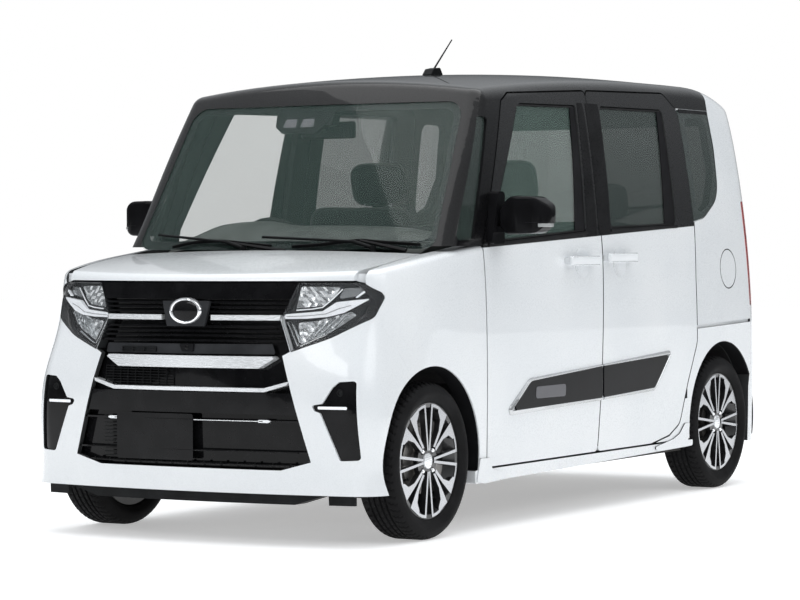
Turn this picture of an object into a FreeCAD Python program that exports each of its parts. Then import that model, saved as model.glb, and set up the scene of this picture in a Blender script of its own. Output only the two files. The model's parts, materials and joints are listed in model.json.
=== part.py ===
import FreeCAD, Part
import math
import os

# A tall kei car with sliding rear doors, in millimetres.
# +X points forward, +Y to the car's left, +Z up.
# The origin is on the ground, midway along the car's length.

V = FreeCAD.Vector
os.makedirs("parts", exist_ok=True)

# Overall body
LENGTH = 3395.0
WIDTH = 1475.0
ROOF_TOP = 1752.0
BODY_BOTTOM = 184.0
BELT = 1045.0
DOOR_SILL = 1030.0
FRONT = LENGTH / 2
REAR = -LENGTH / 2

# Wheels and axles
FRONT_AXLE = 1210.0
REAR_AXLE = -1250.0
TRACK_HALF = 650.0
TYRE_RADIUS = 281.0
TYRE_WIDTH = 165.0
TREAD_HALF = 50.0
SIDEWALL_RADIUS = 250.0
BEAD_RADIUS = 190.5
RIM_WIDTH = 114.0
FLANGE_RADIUS = 207.0
FLANGE_THICK = 7.0
BARREL_WALL = 7.0
HUB_FACE = 690.0
FRONT_ARCH_X = 1212.0
FRONT_ARCH_RADIUS = 338.0
REAR_ARCH_X = -1268.0
REAR_ARCH_RADIUS = 345.0

# Steering axis of the left front wheel, from the lower ball joint to the strut's top mount
BALL_JOINT = V(1215, 615, 165)
STRUT_TOP = V(1195, 470, 790)

# Walls, gaps and glass
DOOR_THICK = 75.0
FRAME_THICK = 38.0
ROOF_THICK = 35.0
TAIL_THICK = 60.0
SCREEN_FRAME_THICK = 45.0
SKIN_THICK = 25.0
SHUT_GAP = 7.0
GLASS_INSET = 10.0
GLASS_THICK = 4.0
SEAT_GAP = 0.3

# Rounded edges of the body
NOSE_CORNER = 110.0
NOSE_EDGE = 34.0
PILLAR_EDGE = 60.0
TAIL_CORNER = 120.0
ROOF_EDGE = 60.0

TAILGATE_FRONT = -1425.0

# Floor
FLOOR_LOW = 190.0
FLOOR_TOP = 225.0
FLOOR_THICK = 20.0
CARGO_FLOOR = 440.0
CARGO_FRONT = -910.0
FIREWALL = 950.0


def smooth_step(value, start, end):
    """0 before start, 1 after end and an S-curve between them."""
    t = min(1.0, max(0.0, (value - start) / (end - start)))
    return t * t * (3 - 2 * t)


# The body's master surfaces, as formulas

def half_width(x, z, inset=0.0):
    """Half the body's width at a station and height."""
    width = WIDTH / 2 - inset
    width -= 8.9e-5 * (z - 650) ** 2 if z > 650 else 3e-5 * (650 - z) ** 2
    if x > 600:
        width -= 26 * ((x - 600) / 470) ** 2 * smooth_step(z, 900, 1200)
    if x > 1150:
        run = (x - 1150) / 350
        taper = run * run if run < 1 else 2 * run - 1
        width -= 42 * taper * smooth_step(z, 380, 860)
    if x < -900:
        width -= 10 * ((-x - 900) / 700) ** 2
    return width


def nose_x(y, z, inset=0.0):
    """The bumper and grille face: nearly flat in the middle, swept back at lamp height."""
    centre = FRONT - inset
    centre -= 4.5e-4 * (500 - z) ** 2 / 4 if z < 500 else 14 * ((z - 500) / 425) ** 2
    sweep = 1.28e-4 + 2.4e-4 * smooth_step(z, 520, 880)
    return centre - sweep * y * y


def tail_x(y, z, inset=0.0):
    """The tailgate's face, leaning forward above the belt."""
    lean = 0.0
    if z > 400:
        lean = 5.5e-5 * (z - 400) ** 2
    if z > 1450:
        lean += 6e-4 * (z - 1450) ** 2
    return REAR + inset + lean + 5e-5 * y * y


def screen_x(y, z, inset=0.0):
    """The windscreen, curved in plan."""
    return 1115 - inset - 0.608 * (z - 1039) - 1.2e-4 * y * y


def roof_z(x, y, inset=0.0):
    """The roof, highest over the rear seat and crowned across."""
    crown = 3.4e-5 * (x + 800) ** 2 if x > -800 else 0.0
    if x < -1150:
        crown += 4.7e-4 * (x + 1150) ** 2
    return ROOF_TOP - inset - crown - 1.15e-4 * y * y


def bonnet_z(x, y, inset=0.0):
    """The bonnet, falling towards the grille."""
    run = x - 1069
    return 1046 - inset - 0.10 * run - 1.0e-4 * run * abs(run) - 5e-5 * y * y


# Shape helpers

def sheet(point, us, vs):
    """A smooth face through point(u, v) over two lists of stations."""
    surface = Part.BSplineSurface()
    surface.interpolate([[point(u, v) for v in vs] for u in us])
    return surface.toShape()


def box(x0, x1, y0, y1, z0, z1):
    return Part.makeBox(x1 - x0, y1 - y0, z1 - z0, V(x0, y0, z0))


def rod(start, end, radius, end_radius=None):
    """A round bar, or a cone where it has a second radius."""
    run = end - start
    if end_radius is None:
        return Part.makeCylinder(radius, run.Length, start, run)
    return Part.makeCone(radius, end_radius, run.Length, start, run)


def mirror(shape):
    return shape.mirror(V(0, 0, 0), V(0, 1, 0))


def both(shape):
    """A piece and its mirror image across the car."""
    return Part.makeCompound([shape, mirror(shape)])


def joined(*shapes):
    return shapes[0].multiFuse(list(shapes[1:]))


def rounded_wire(points, place, radius):
    """A closed wire through flat points, each corner an arc of its own or the given radius."""
    count = len(points)
    ends = []
    for i in range(count):
        here = V(points[i][0], points[i][1], 0)
        back = V(points[i - 1][0], points[i - 1][1], 0) - here
        ahead = V(points[(i + 1) % count][0], points[(i + 1) % count][1], 0) - here
        r = points[i][2] if len(points[i]) > 2 else radius
        half = back.getAngle(ahead) / 2
        back.normalize()
        ahead.normalize()
        if r <= 0 or half > 1.565:
            ends.append((here, None, here))
            continue
        cut = r / math.tan(half)
        middle = (back + ahead).normalize() * (r / math.sin(half) - r)
        ends.append((here + back * cut, here + middle, here + ahead * cut))
    edges = []
    for i in range(count):
        start, middle, end = ends[i]
        if middle is not None:
            arc = Part.Arc(place(start), place(middle), place(end))
            edges.append(arc.toShape())
        following = ends[(i + 1) % count][0]
        if (following - end).Length > 0.01:
            edges.append(Part.makeLine(place(end), place(following)))
    return Part.Wire(edges)


def prism(points, radius, axis, low, high, grow=0.0):
    """An outline seen along X, Y or Z, pushed from low to high and grown by a clearance."""
    if axis == "X":
        wire = rounded_wire(points, lambda p: V(low, p.x, p.y), radius)
        run = V(high - low, 0, 0)
    elif axis == "Y":
        wire = rounded_wire(points, lambda p: V(p.x, low, p.y), radius)
        run = V(0, high - low, 0)
    else:
        wire = rounded_wire(points, lambda p: V(p.x, p.y, low), radius)
        run = V(0, 0, high - low)
    if grow:
        wire = wire.makeOffset2D(grow)
    return Part.Face(wire).extrude(run)


def pipe(route, radius, bend):
    """A round tube along a flat route of points, with each corner bent to an arc."""
    edges = []
    start = route[0]
    for before, corner, after in zip(route, route[1:], route[2:]):
        back, ahead = (before - corner).normalize(), (after - corner).normalize()
        half = back.getAngle(ahead) / 2
        cut = bend / math.tan(half)
        middle = corner + (back + ahead).normalize() * (bend / math.sin(half) - bend)
        edges.append(Part.makeLine(start, corner + back * cut))
        edges.append(Part.Arc(corner + back * cut, middle, corner + ahead * cut).toShape())
        start = corner + ahead * cut
    edges.append(Part.makeLine(start, route[-1]))
    ring = Part.Wire(Part.makeCircle(radius, route[0], route[1] - route[0]))
    return Part.Wire(edges).makePipeShell([ring], True, False)


def turned(profile, centre):
    """A body of revolution about the car's cross axis, from (radius, across) points."""
    points = [V(centre.x + r, centre.y + a, centre.z) for r, a in profile]
    wire = Part.makePolygon(points + points[:1])
    return Part.Face(wire).revolve(centre, V(0, 1, 0), 360)


def pick(shape, test):
    return [edge for edge in shape.Edges if test(edge.BoundBox)]


def stations(low, high, count):
    return [low + (high - low) * i / (count - 1) for i in range(count)]


# Evenly spaced stations of the master surfaces
SIDE_X = stations(-1750, 1750, 15)
SIDE_Z = stations(60, 1860, 11)
CROSS_Y = stations(-900, 900, 7)
NOSE_Z = stations(0, 1200, 13)
TAIL_Z = stations(0, 1900, 11)
SCREEN_Z = stations(60, 1900, 6)
ROOF_X = stations(-1850, 1250, 16)
BONNET_X = stations(600, 1900, 7)


def side_sheet(inset):
    return sheet(lambda x, z: V(x, half_width(x, z, inset), z), SIDE_X, SIDE_Z)


def side_layer(inset, thick):
    """A thin sheet that follows the left side of the body."""
    return side_sheet(inset).extrude(V(0, -thick, 0))


def between_sides(inset):
    """The space between the two sides, each moved inwards by inset."""
    left = side_sheet(inset).extrude(V(0, -1700, 0))
    return left.common(mirror(left))


def behind_nose(inset):
    face = sheet(lambda y, z: V(nose_x(y, z, inset), y, z), CROSS_Y, NOSE_Z)
    return face.extrude(V(-2500, 0, 0))


def ahead_of_tail(inset):
    face = sheet(lambda y, z: V(tail_x(y, z, inset), y, z), CROSS_Y, TAIL_Z)
    return face.extrude(V(4000, 0, 0))


def behind_screen(inset, depth=3500):
    face = sheet(lambda y, z: V(screen_x(y, z, inset), y, z), CROSS_Y, SCREEN_Z)
    return face.extrude(V(-depth, 0, 0))


def under_roof(inset):
    face = sheet(lambda x, y: V(x, y, roof_z(x, y, inset)), ROOF_X, CROSS_Y)
    return face.extrude(V(0, 0, -1600))


def under_bonnet(inset):
    face = sheet(lambda x, y: V(x, y, bonnet_z(x, y, inset)), BONNET_X, CROSS_Y)
    return face.extrude(V(0, 0, -900))


def cabin_outside(sides):
    """The outside of the cabin, its pillars and roof edge rounded."""
    body = sides.common(ahead_of_tail(0)).common(behind_screen(0)).common(under_roof(0))
    pillars = pick(body, lambda b: b.ZLength > 700 and b.XLength > 60 and b.Center.x > 600)
    body = body.makeFillet(PILLAR_EDGE, pillars)
    corners = pick(body, lambda b: b.ZLength > 700 and b.Center.x < -1400 and b.YLength > 30)
    body = body.makeFillet(TAIL_CORNER, corners)
    crown = pick(body, lambda b: b.ZMin > 1450 and b.ZLength < 300 and b.Center.z > 1480)
    return body.makeFillet(ROOF_EDGE, crown)


def cabin_inside():
    """The room in the cabin: thick doors up to the sill of the windows, thin frames above it."""
    low = between_sides(DOOR_THICK).common(box(-1900, 1900, -900, 900, 0, DOOR_SILL))
    high = between_sides(FRAME_THICK).common(box(-1900, 1900, -900, 900, DOOR_SILL, 1900))
    body = low.fuse(high)
    body = body.common(ahead_of_tail(TAIL_THICK)).common(behind_screen(SCREEN_FRAME_THICK))
    return body.common(under_roof(ROOF_THICK))


def nose_outside(sides):
    """The outside of the engine bay, bumper corners and bonnet edge rounded."""
    room = box(819 + SHUT_GAP / 2, 1900, -900, 900, BODY_BOTTOM, 1200)
    body = sides.common(behind_nose(0)).common(under_bonnet(0)).common(room)
    corners = pick(body, lambda b: b.ZLength > 500 and b.Center.x > 1300)
    body = body.makeFillet(NOSE_CORNER, corners)
    crown = pick(body, lambda b: b.ZMin > 820 and b.XMax > 900)
    return body.makeFillet(NOSE_EDGE, crown)


def nose_inside():
    sides = between_sides(SKIN_THICK)
    body = sides.common(behind_nose(SKIN_THICK)).common(under_bonnet(SKIN_THICK))
    corners = pick(body, lambda b: b.ZLength > 500 and b.Center.x > 1300 and b.YLength > 20)
    return body.makeFillet(NOSE_CORNER - SKIN_THICK, corners)


# Outlines of the shut lines and windows on the left side, as (X, Z)
FRONT_DOOR = [
    (819, 229), (819, 1046), (563, 1590), (500, 1622), (-147, 1655), (-145, 1000, 300),
    (-110, 500, 300), (-76, 229),
]
SLIDING_DOOR = [
    (-76, 229), (-110, 500, 300), (-145, 1000, 300), (-147, 1655), (-860, 1672, 60),
    (-985, 1600, 60), (-1018, 1125, 60), (-1000, 889, 200), (-1000, 632, 80), (-906, 465, 200),
    (-829, 299, 60), (-731, 255, 30), (-560, 229, 200),
]
FRONT_WINDOW = [(435, 1586, 60), (-48, 1594, 14), (-14, 1094, 14), (785, 1050)]
SLIDING_WINDOW = [(-252, 1598), (-833, 1603), (-843, 1119), (-236, 1104)]
QUARTER_GLASS = [
    (-900, 1608), (-1287, 1608, 12), (-1304, 1450, 300), (-1290, 1240, 130), (-1120, 1150, 200),
    (-900, 1117),
]
QUARTER_WINDOW = [
    (-1050, 1580), (-1255, 1580), (-1274, 1345, 60), (-1200, 1210, 70), (-1068, 1165),
]
QUARTER_RISE = 1.5
PILLAR_WINDOW = [(1000, 1066), (882, 1066), (686, 1526), (745, 1526)]
FUEL_FLAP = (-1338.0, 935.0, 86.0)
FLAP_GAP = 5.0
FLAP_THICK = 9.0

# Where the fender meets the bumper, the front door and the lamp, seen from the side
FENDER = [
    (819, 229), (819, 1200), (1800, 1200), (1800, 1010), (1540, 1000), (1497, 763),
    (1433, 682), (1364, 594), (1340, 229),
]
SKIRT = [(905, 176), (905, 225), (-960, 225), (-960, 200), (-885, 198)]

# The slide rail's slot and the seam above it, and the round cups behind the door handles
RAIL_SLOT = [(-995, 687), (-995, 701), (-1562, 715), (-1562, 701)]
RAIL_DEPTH = 10.0
RAIL_SEAM = [(-990, 819.5), (-990, 822.5), (-1545, 838.5), (-1545, 835.5)]
SEAM_DEPTH = 3.0
CUP_RADIUS = 61.0
CUP_DEPTH = 14.0
FRONT_CUP = (38.0, 981.0)
SLIDING_CUP = (-290.0, 981.0)

# Outlines on the front, as (Y, Z) for the left half
LAMP = [
    (427, 922), (640, 922, 60), (702, 880, 30), (680, 797, 30), (553, 727, 300), (418, 679),
    (371, 792, 30),
]
MOUTH_HALF = [
    (427, 922), (371, 792), (416, 681), (389, 667), (420, 573), (503, 299), (386, 268),
]
FOG_BEZEL = [
    (505, 497, 8), (548, 503, 8), (584, 559, 8), (608, 579, 8), (668, 583, 12),
    (684, 309, 12), (612, 306, 14), (540, 472, 8), (520, 478, 6),
]


def mirrored_outline(half):
    return half + [(-p[0],) + tuple(p[1:]) for p in reversed(half)]


sides = between_sides(0)
cabin = cabin_outside(sides)
cabin_inner = cabin_inside()
cabin_shell = cabin.cut(cabin_inner)
cabin_shell = cabin_shell.common(box(-1800, 1200, -900, 900, BODY_BOTTOM, 1900))
nose = nose_outside(sides)
nose_inner = nose_inside()
nose_shell = nose.cut(nose_inner)

GAP = SHUT_GAP / 2
front_arch = rod(V(FRONT_ARCH_X, 350, TYRE_RADIUS), V(FRONT_ARCH_X, 900, TYRE_RADIUS),
                 FRONT_ARCH_RADIUS)
rear_arch = rod(V(REAR_ARCH_X, 350, TYRE_RADIUS), V(REAR_ARCH_X, 900, TYRE_RADIUS),
                REAR_ARCH_RADIUS)
left_wall = cabin_shell.common(box(-1800, 1200, 520, 900, 0, 1900))


def side_piece(outline, radius=25.0):
    return left_wall.common(prism(outline, radius, "Y", 480, 900, -GAP))


def pane(outline, radius):
    """A side window's glass, seated in its opening."""
    return side_layer(GLASS_INSET, GLASS_THICK).common(
        prism(outline, radius, "Y", 480, 900, -SEAT_GAP))


def opening(outline, radius):
    return prism(outline, radius, "Y", 480, 900)


def cup(place):
    """The ball whose cap is pressed into a door behind its handle."""
    x, z = place
    ball = (CUP_RADIUS ** 2 + CUP_DEPTH ** 2) / (2 * CUP_DEPTH)
    return Part.makeSphere(ball, V(x, half_width(x, z) - CUP_DEPTH + ball, z))


def front_doors():
    door = side_piece(FRONT_DOOR).cut(opening(FRONT_WINDOW, 28)).cut(cup(FRONT_CUP))
    return door, pane(FRONT_WINDOW, 28)


def sliding_doors():
    door = side_piece(SLIDING_DOOR).cut(opening(SLIDING_WINDOW, 28)).cut(cup(SLIDING_CUP))
    return door, pane(SLIDING_WINDOW, 28)


def side_slot(outline, depth):
    """What a shallow slot of an outline takes out of the left side."""
    return side_layer(-1, depth + 1).common(prism(outline, 2, "Y", 480, 900))


def quarter_glass():
    """The rear corner's pane, bonded flush from the sliding door's edge to the body's curve."""
    pane_room = prism(QUARTER_GLASS, 12, "Y", 480, 900, -GAP)
    pane_room = pane_room.cut(prism(SLIDING_DOOR, 25, "Y", 400, 900, GAP))
    return side_layer(QUARTER_RISE, GLASS_THICK).common(pane_room)


BUMPER_TOP = 655.0
TAILGATE = [(-600, 1900), (600, 1900), (612, 1500), (648, 1150), (655, BUMPER_TOP), (-655, BUMPER_TOP),
            (-648, 1150), (-612, 1500)]
TAIL_WINDOW = [(-555, 1560), (555, 1560), (590, 1120), (-590, 1120)]
REAR_BUMPER = [(-2000, BUMPER_TOP), (-1640, BUMPER_TOP, 30), (-1575, 560, 60), (-1540, 420), (-1540, 100),
               (-2000, 100)]
ROOF_REAR = -1290.0
ROOF_SIDE = 1612.0
TAIL_LAMP = [(652, 1225), (800, 1225), (800, 774), (652, 774)]
TAIL_LAMP_SIDE = [(-1528, 1225), (-1800, 1225), (-1800, 774), (-1562, 774)]


def tailgate_room(grow):
    """The tailgate's outline from behind, with its top running forward into the roof."""
    back = prism(TAILGATE, 40, "X", -2000, -1560 + grow, grow)
    top = box(-1600, TAILGATE_FRONT + grow, -600 - grow, 600 + grow, 1560, 1900)
    return back.fuse(top)


def tailgate_pieces():
    gate = cabin_shell.common(tailgate_room(-SHUT_GAP))
    window = prism(TAIL_WINDOW, 50, "X", -2000, -1300)
    seat = prism(TAIL_WINDOW, 50, "X", -2000, -1300, -SEAT_GAP)
    gate = gate.cut(window)
    face = sheet(lambda y, z: V(tail_x(y, z, 6), y, z), CROSS_Y, TAIL_Z)
    glass = face.extrude(V(GLASS_THICK, 0, 0)).common(seat)
    return gate, glass


def quarter_panel():
    """The body side behind the sliding door, up to the roof and round to the tailgate."""
    room = left_wall.common(box(-1800, -560, 520, 900, 229 + GAP, 1900))
    room = room.cut(prism(SLIDING_DOOR, 25, "Y", 400, 900, GAP))
    room = room.cut(rear_arch).cut(opening(QUARTER_WINDOW, 40)).cut(tailgate_room(0))
    room = room.cut(prism(REAR_BUMPER, 0, "Y", 400, 900, SEAT_GAP))
    room = room.cut(box(ROOF_REAR, 0, 400, 900, ROOF_SIDE, 1900))
    room = room.cut(box(-900, 0, 400, 900, 400, 1900))
    rebate = QUARTER_RISE + GLASS_THICK + SEAT_GAP
    for outline, depth in ((QUARTER_GLASS, rebate), (RAIL_SLOT, RAIL_DEPTH), (RAIL_SEAM, SEAM_DEPTH)):
        room = room.cut(side_slot(outline, depth))
    lamp = prism(TAIL_LAMP, 12, "X", -1800, -1480)
    room = room.cut(lamp.common(prism(TAIL_LAMP_SIDE, 0, "Y", 400, 900)))
    flap_x, flap_z, flap_radius = FUEL_FLAP
    pocket = rod(V(flap_x, 690, flap_z), V(flap_x, 900, flap_z), flap_radius)
    disc = rod(V(flap_x, 500, flap_z), V(flap_x, 900, flap_z), flap_radius - FLAP_GAP)
    stop_x = flap_x - flap_radius + 24
    stop_y = half_width(stop_x, flap_z) - FLAP_THICK - SEAT_GAP - 0.4
    stop = rod(V(stop_x, 685, flap_z), V(stop_x, stop_y, flap_z), 6)
    return room, room.cut(pocket).fuse(stop), side_layer(0, FLAP_THICK).common(disc)


def rear_bumper():
    return cabin_shell.common(prism(REAR_BUMPER, 0, "Y", -900, 900))


def tail_lamps():
    """Upright lamps on the rear corners, beside the tailgate."""
    room = prism(TAIL_LAMP, 12, "X", -1800, -1480, -SEAT_GAP)
    room = room.common(prism(TAIL_LAMP_SIDE, 0, "Y", 400, 900, -SEAT_GAP))
    return both(left_wall.common(room))


# The nose: bonnet, fenders, bumper, lamps and grille

BONNET_HALF = 612.0
BONNET_FRONT_Z = 924.0
COWL_DEPTH = 70.0
ANTENNA_X = -60.0
PLENUM_TOP = 985.0
SLATS = [852, 836, 820, 768, 752, 736, 718]
LOWER_SLATS = [438, 330, 284]
LIP_BOTTOM = 148.0
PLATE = (-136.0, 375.0, 330.0, 165.0)
GRILLE_DEPTH = 36.0
SLAT_DEPTH = 8.0
PLATE_THICK = 2.0


def ahead_of_screen_base(ahead, z0, z1, front_x):
    """Space between a line that runs along the windscreen's base and a cross line ahead."""
    half = 780.0
    middle = screen_x(0, 1035) + ahead
    end = screen_x(half, 1035) + ahead
    arc = Part.Arc(V(end, half, z0), V(middle, 0, z0), V(end, -half, z0)).toShape()
    edges = [arc, Part.makeLine(V(end, -half, z0), V(front_x, -half, z0)),
             Part.makeLine(V(front_x, -half, z0), V(front_x, half, z0)),
             Part.makeLine(V(front_x, half, z0), V(end, half, z0))]
    return Part.Face(Part.Wire(edges)).extrude(V(0, 0, z1 - z0))


def bonnet_room(grow):
    """The bonnet's outline from above, above the lamps and grille."""
    half = BONNET_HALF
    outline = [(1900, half), (1560, half, 120), (1380, half + 34, 300), (1000, half + 30),
               (1000, -half - 30), (1380, -half - 34, 300), (1560, -half, 120), (1900, -half)]
    return prism(outline, 0, "Z", BONNET_FRONT_Z - grow, 1100, grow)


def bonnet_pieces():
    skin = nose_shell.common(bonnet_room(-GAP))
    return skin.common(ahead_of_screen_base(COWL_DEPTH, 700, 1200, 1900))


def lamp_solid():
    room = prism(LAMP, 0, "X", 1462, 1900, -SEAT_GAP)
    inner = nose.translated(V(-80, -50, 0))
    return nose.common(room).cut(inner.common(box(1400, 1900, 0, 900, 600, 1000)))


def front_shells():
    """The left fender and the bumper, around the lamps, mouth and fog bezels."""
    rest = nose_shell.cut(bonnet_room(GAP))
    rest = rest.cut(box(700, 1560, -BONNET_HALF - 32 - GAP, BONNET_HALF + 32 + GAP, 900, 1200))
    rest = rest.cut(both(prism(LAMP, 0, "X", 1462, 1900)))
    fender = rest.common(prism(FENDER, 0, "Y", 300, 900, -SEAT_GAP)).cut(front_arch)
    pillar_room = cabin.common(box(700, 1300, -900, 900, BELT - SEAT_GAP, 1900))
    fender = fender.cut(pillar_room.translated(V(1, 0, 0)))
    bumper = rest.cut(both(prism(FENDER, 0, "Y", 300, 900)))
    bumper = bumper.cut(both(front_arch)).cut(box(700, FRONT_ARCH_X, -900, 900, 0, 300))
    bumper = bumper.cut(prism(mirrored_outline(MOUTH_HALF), 0, "X", 1400, 1900))
    bumper = bumper.cut(both(prism(FOG_BEZEL, 0, "X", 1400, 1900)))
    return fender, bumper


def nose_layer(front, back, outline, grow=-SEAT_GAP):
    """A piece that follows the nose between two depths, inside an outline seen from the front."""
    room = prism(outline, 0, "X", 1500, 1900, grow)
    return room.common(nose.translated(V(-front, 0, 0))).cut(nose.translated(V(-back, 0, 0)))


def slat(z, half, thick=7.0):
    return box(1500, 1750, -half, half, z - thick / 2, z + thick / 2)


def grille():
    mouth = mirrored_outline(MOUTH_HALF)
    plate = nose_layer(GRILLE_DEPTH, GRILLE_DEPTH + 10, mouth)
    slats = [slat(z, 430) for z in SLATS] + [slat(z, 505, 6) for z in LOWER_SLATS]
    top = box(1500, 1750, -430, 430, 864, 924)
    chin = box(1500, 1750, -505, 505, 462, 536)
    plinth = prism([(-100, 860), (-80, 770), (80, 770), (100, 860)], 12, "X", 1500, 1750)
    ribs = nose_layer(SLAT_DEPTH, GRILLE_DEPTH + 1, mouth).common(top.multiFuse([chin, plinth] + slats))
    return plate.fuse(ribs)


def chrome_bars():
    upper = [(106, 790), (368, 790), (371, 808), (106, 808)]
    bars = [nose_layer(-1, GRILLE_DEPTH - SEAT_GAP, upper, 0), None]
    bars[1] = mirror(bars[0])
    wide = [(300, 622), (358, 656), (350, 664), (-350, 664), (-358, 656), (-300, 622)]
    thin = [(-323, 540), (323, 540), (413, 566), (417, 578), (320, 553), (-320, 553),
            (-417, 578), (-413, 566)]
    bars.append(nose_layer(-2, GRILLE_DEPTH - SEAT_GAP, wide, 0))
    bars.append(nose_layer(2, GRILLE_DEPTH - SEAT_GAP, thin, 0))
    return Part.makeCompound(bars)


def fog_bezels():
    room = prism(FOG_BEZEL, 0, "X", 1560, 1900, -SEAT_GAP)
    skin = nose.translated(V(-7, -4, 0)).common(room)
    skin = skin.cut(nose.translated(V(-34, -24, 0)))
    bar = prism([(530, 483), (641, 483), (641, 495), (530, 495)], 2, "X", 1560, 1900)
    bar = nose.translated(V(-3, -2, 0)).common(bar).cut(nose.translated(V(-20, -14, 0)))
    return both(skin.fuse(bar))


def front_lip():
    """The black lip under the bumper, its ends cut back, and the strips ahead of the wheels."""
    top = BODY_BOTTOM - SEAT_GAP
    outline = [(-545, top), (-425, LIP_BOTTOM), (425, LIP_BOTTOM), (545, top)]
    lip = behind_nose(14).common(prism(outline, 0, "X", 1570, 1750))
    drop = LIP_BOTTOM + 2 - BODY_BOTTOM
    strip = nose.translated(V(-10, -6, drop)).cut(nose.translated(V(-22, -14, drop - 1)))
    strip = strip.common(box(1500, 1750, 560, 655, LIP_BOTTOM, top))
    return Part.makeCompound([lip, strip, mirror(strip)])


def number_plate():
    """A blank plate on the front, offset to the car's right as on the real car."""
    y, z, wide, high = PLATE
    outline = [(y - wide / 2, z - high / 2), (y + wide / 2, z - high / 2),
               (y + wide / 2, z + high / 2), (y - wide / 2, z + high / 2)]
    back = FRONT - SLAT_DEPTH + SEAT_GAP
    blank = prism(outline, 8, "X", back, back + PLATE_THICK)
    stay = box(back - 60, back, y - 105, y + 105, z - 12, z + 12)
    stay = stay.cut(behind_nose(GRILLE_DEPTH - SEAT_GAP))
    return blank.fuse(stay)


# Roof, pillars and windscreen

SCREEN = [(-655, 1034), (655, 1034), (600, 1583, 70), (-600, 1583, 70)]


def roof_and_pillars():
    rear = box(ROOF_REAR + SEAT_GAP, 100, -900, 900, ROOF_SIDE, 1900)
    front = box(-150, 1200, -900, 900, BELT, 1900)
    centre = box(TAILGATE_FRONT, 0, -520, 520, 1500, 1900)
    top = cabin_shell.common(rear.multiFuse([front, centre]))
    for cut in (prism(SLIDING_DOOR, 25, "Y", 500, 900, GAP),
                prism(FRONT_DOOR, 25, "Y", 500, 900, GAP), opening(PILLAR_WINDOW, 14)):
        top = top.cut(cut).cut(mirror(cut))
    top = top.cut(prism(SCREEN, 40, "X", 500, 1400))
    hinge = box(TAILGATE_FRONT - SHUT_GAP + SEAT_GAP, TAILGATE_FRONT + 30, 380, 440, 1668, 1686)
    return top.multiFuse([hinge, mirror(hinge)])


def windscreen():
    face = sheet(lambda y, z: V(screen_x(y, z, 3), y, z), CROSS_Y, SCREEN_Z)
    return face.extrude(V(-5, 0, 0)).common(prism(SCREEN, 40, "X", 500, 1400, -SEAT_GAP))


def cowl():
    """The black cover between the bonnet and the windscreen, with the two wiper arms on it."""
    strip = ahead_of_screen_base(-20, PLENUM_TOP + SEAT_GAP, 1022, 1300).cut(
        ahead_of_screen_base(COWL_DEPTH - 8, 900, 1100, 1400))
    strip = strip.common(box(900, 1300, -640, 640, 900, 1100))
    strip = strip.cut(behind_screen(-2, 3000)).common(under_bonnet(4))
    pieces = []
    for pivot_y, tip_y, tip_z in ((430, -60, 1082), (-120, -560, 1092)):
        pivot = V(screen_x(pivot_y, 1035) + 22, pivot_y, 1004)
        tip = V(screen_x(tip_y, tip_z) + 14, tip_y, tip_z)
        knee = V(screen_x(pivot_y - 90, 1062) + 22, pivot_y - 90, 1064)
        pieces.append(rod(pivot, pivot + V(0, 0, 44), 11))
        pieces.append(rod(pivot + V(0, 0, 36), knee, 7))
        pieces.append(rod(knee - (knee - tip).normalize() * -6, tip, 5))
    return strip.multiFuse(pieces)


def antenna():
    """A short mast leaning back from a pod on the roof."""
    front, rear = ANTENNA_X + 45, ANTENNA_X - 55
    low = [(x, roof_z(x, 0) + SEAT_GAP) for x in (rear, front)]
    top = roof_z(ANTENNA_X, 0)
    pod = prism(low + [(front - 26, top + 24, 12), (rear + 22, top + 32, 14)], 2, "Y", -20, 20)
    mast = rod(V(ANTENNA_X - 8, 0, top + 18), V(ANTENNA_X - 165, 0, top + 152), 4, 2.5)
    return pod.fuse(mast)


# Doors' outer fittings

HANDLE_HIGH = 36.0
MIRROR_EDGE = 12.0

def handle(x0, x1, z):
    """A pull handle standing off the door on two feet, one of them the lock's."""
    y = half_width((x0 + x1) / 2, z)
    bar = box(x0, x1, y + 20, y + 38, z - HANDLE_HIGH / 2, z + HANDLE_HIGH / 2)
    bar = bar.makeFillet(8, bar.Edges)
    feet = [box(x, x + wide, y - 6, y + 24, z - 13, z + 13) for x, wide in ((x0 + 10, 26), (x1 - 52, 44))]
    return bar.multiFuse(feet).cut(side_sheet(-SEAT_GAP).extrude(V(0, -60, 0)))


def garnish(outline, rise=7.0, radius=14.0):
    skin = side_sheet(-rise).extrude(V(0, SEAT_GAP - rise, 0))
    return skin.common(prism(outline, radius, "Y", 480, 900))


FRONT_GARNISH = [(494, 536), (640, 428), (-104, 440), (-104, 569)]
REAR_GARNISH = [(-118, 569), (-118, 441), (-580, 458), (-722, 592)]


MIRROR_FRONT = [
    (752, 1118, 22), (757, 1180, 60), (800, 1228, 60), (905, 1226, 60), (954, 1188, 46),
    (956, 1138, 40), (915, 1090, 50), (790, 1086, 30),
]
MIRROR_PLAN = [
    (756, 750, 24), (778, 830, 80), (766, 925, 60), (718, 958, 36), (680, 952, 8), (674, 756, 8),
]


def mirror_housing():
    """The left door's mirror: a rounded shell on an arm from a tall foot in the window's corner."""
    shell = prism(MIRROR_FRONT, 20, "X", 600, 860).common(prism(MIRROR_PLAN, 20, "Z", 1000, 1300))
    shell = shell.makeFillet(MIRROR_EDGE, pick(shell, lambda b: b.XMax > 745 and b.XMin > 690))
    arm = prism([(752, 712), (752, 790), (690, 790), (690, 712)], 8, "Z", 1094, 1116)
    y = half_width(730, 1090)
    foot = prism([(694, 1052, 12), (792, 1052, 12), (742, 1246, 20), (692, 1246, 20)], 12, "Y",
                 y - 30, y + 26)
    whole = joined(shell, arm, foot)
    return whole.cut(side_sheet(-SEAT_GAP).extrude(V(0, -60, 0)))


# Floor, firewall and wheel housings

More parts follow.
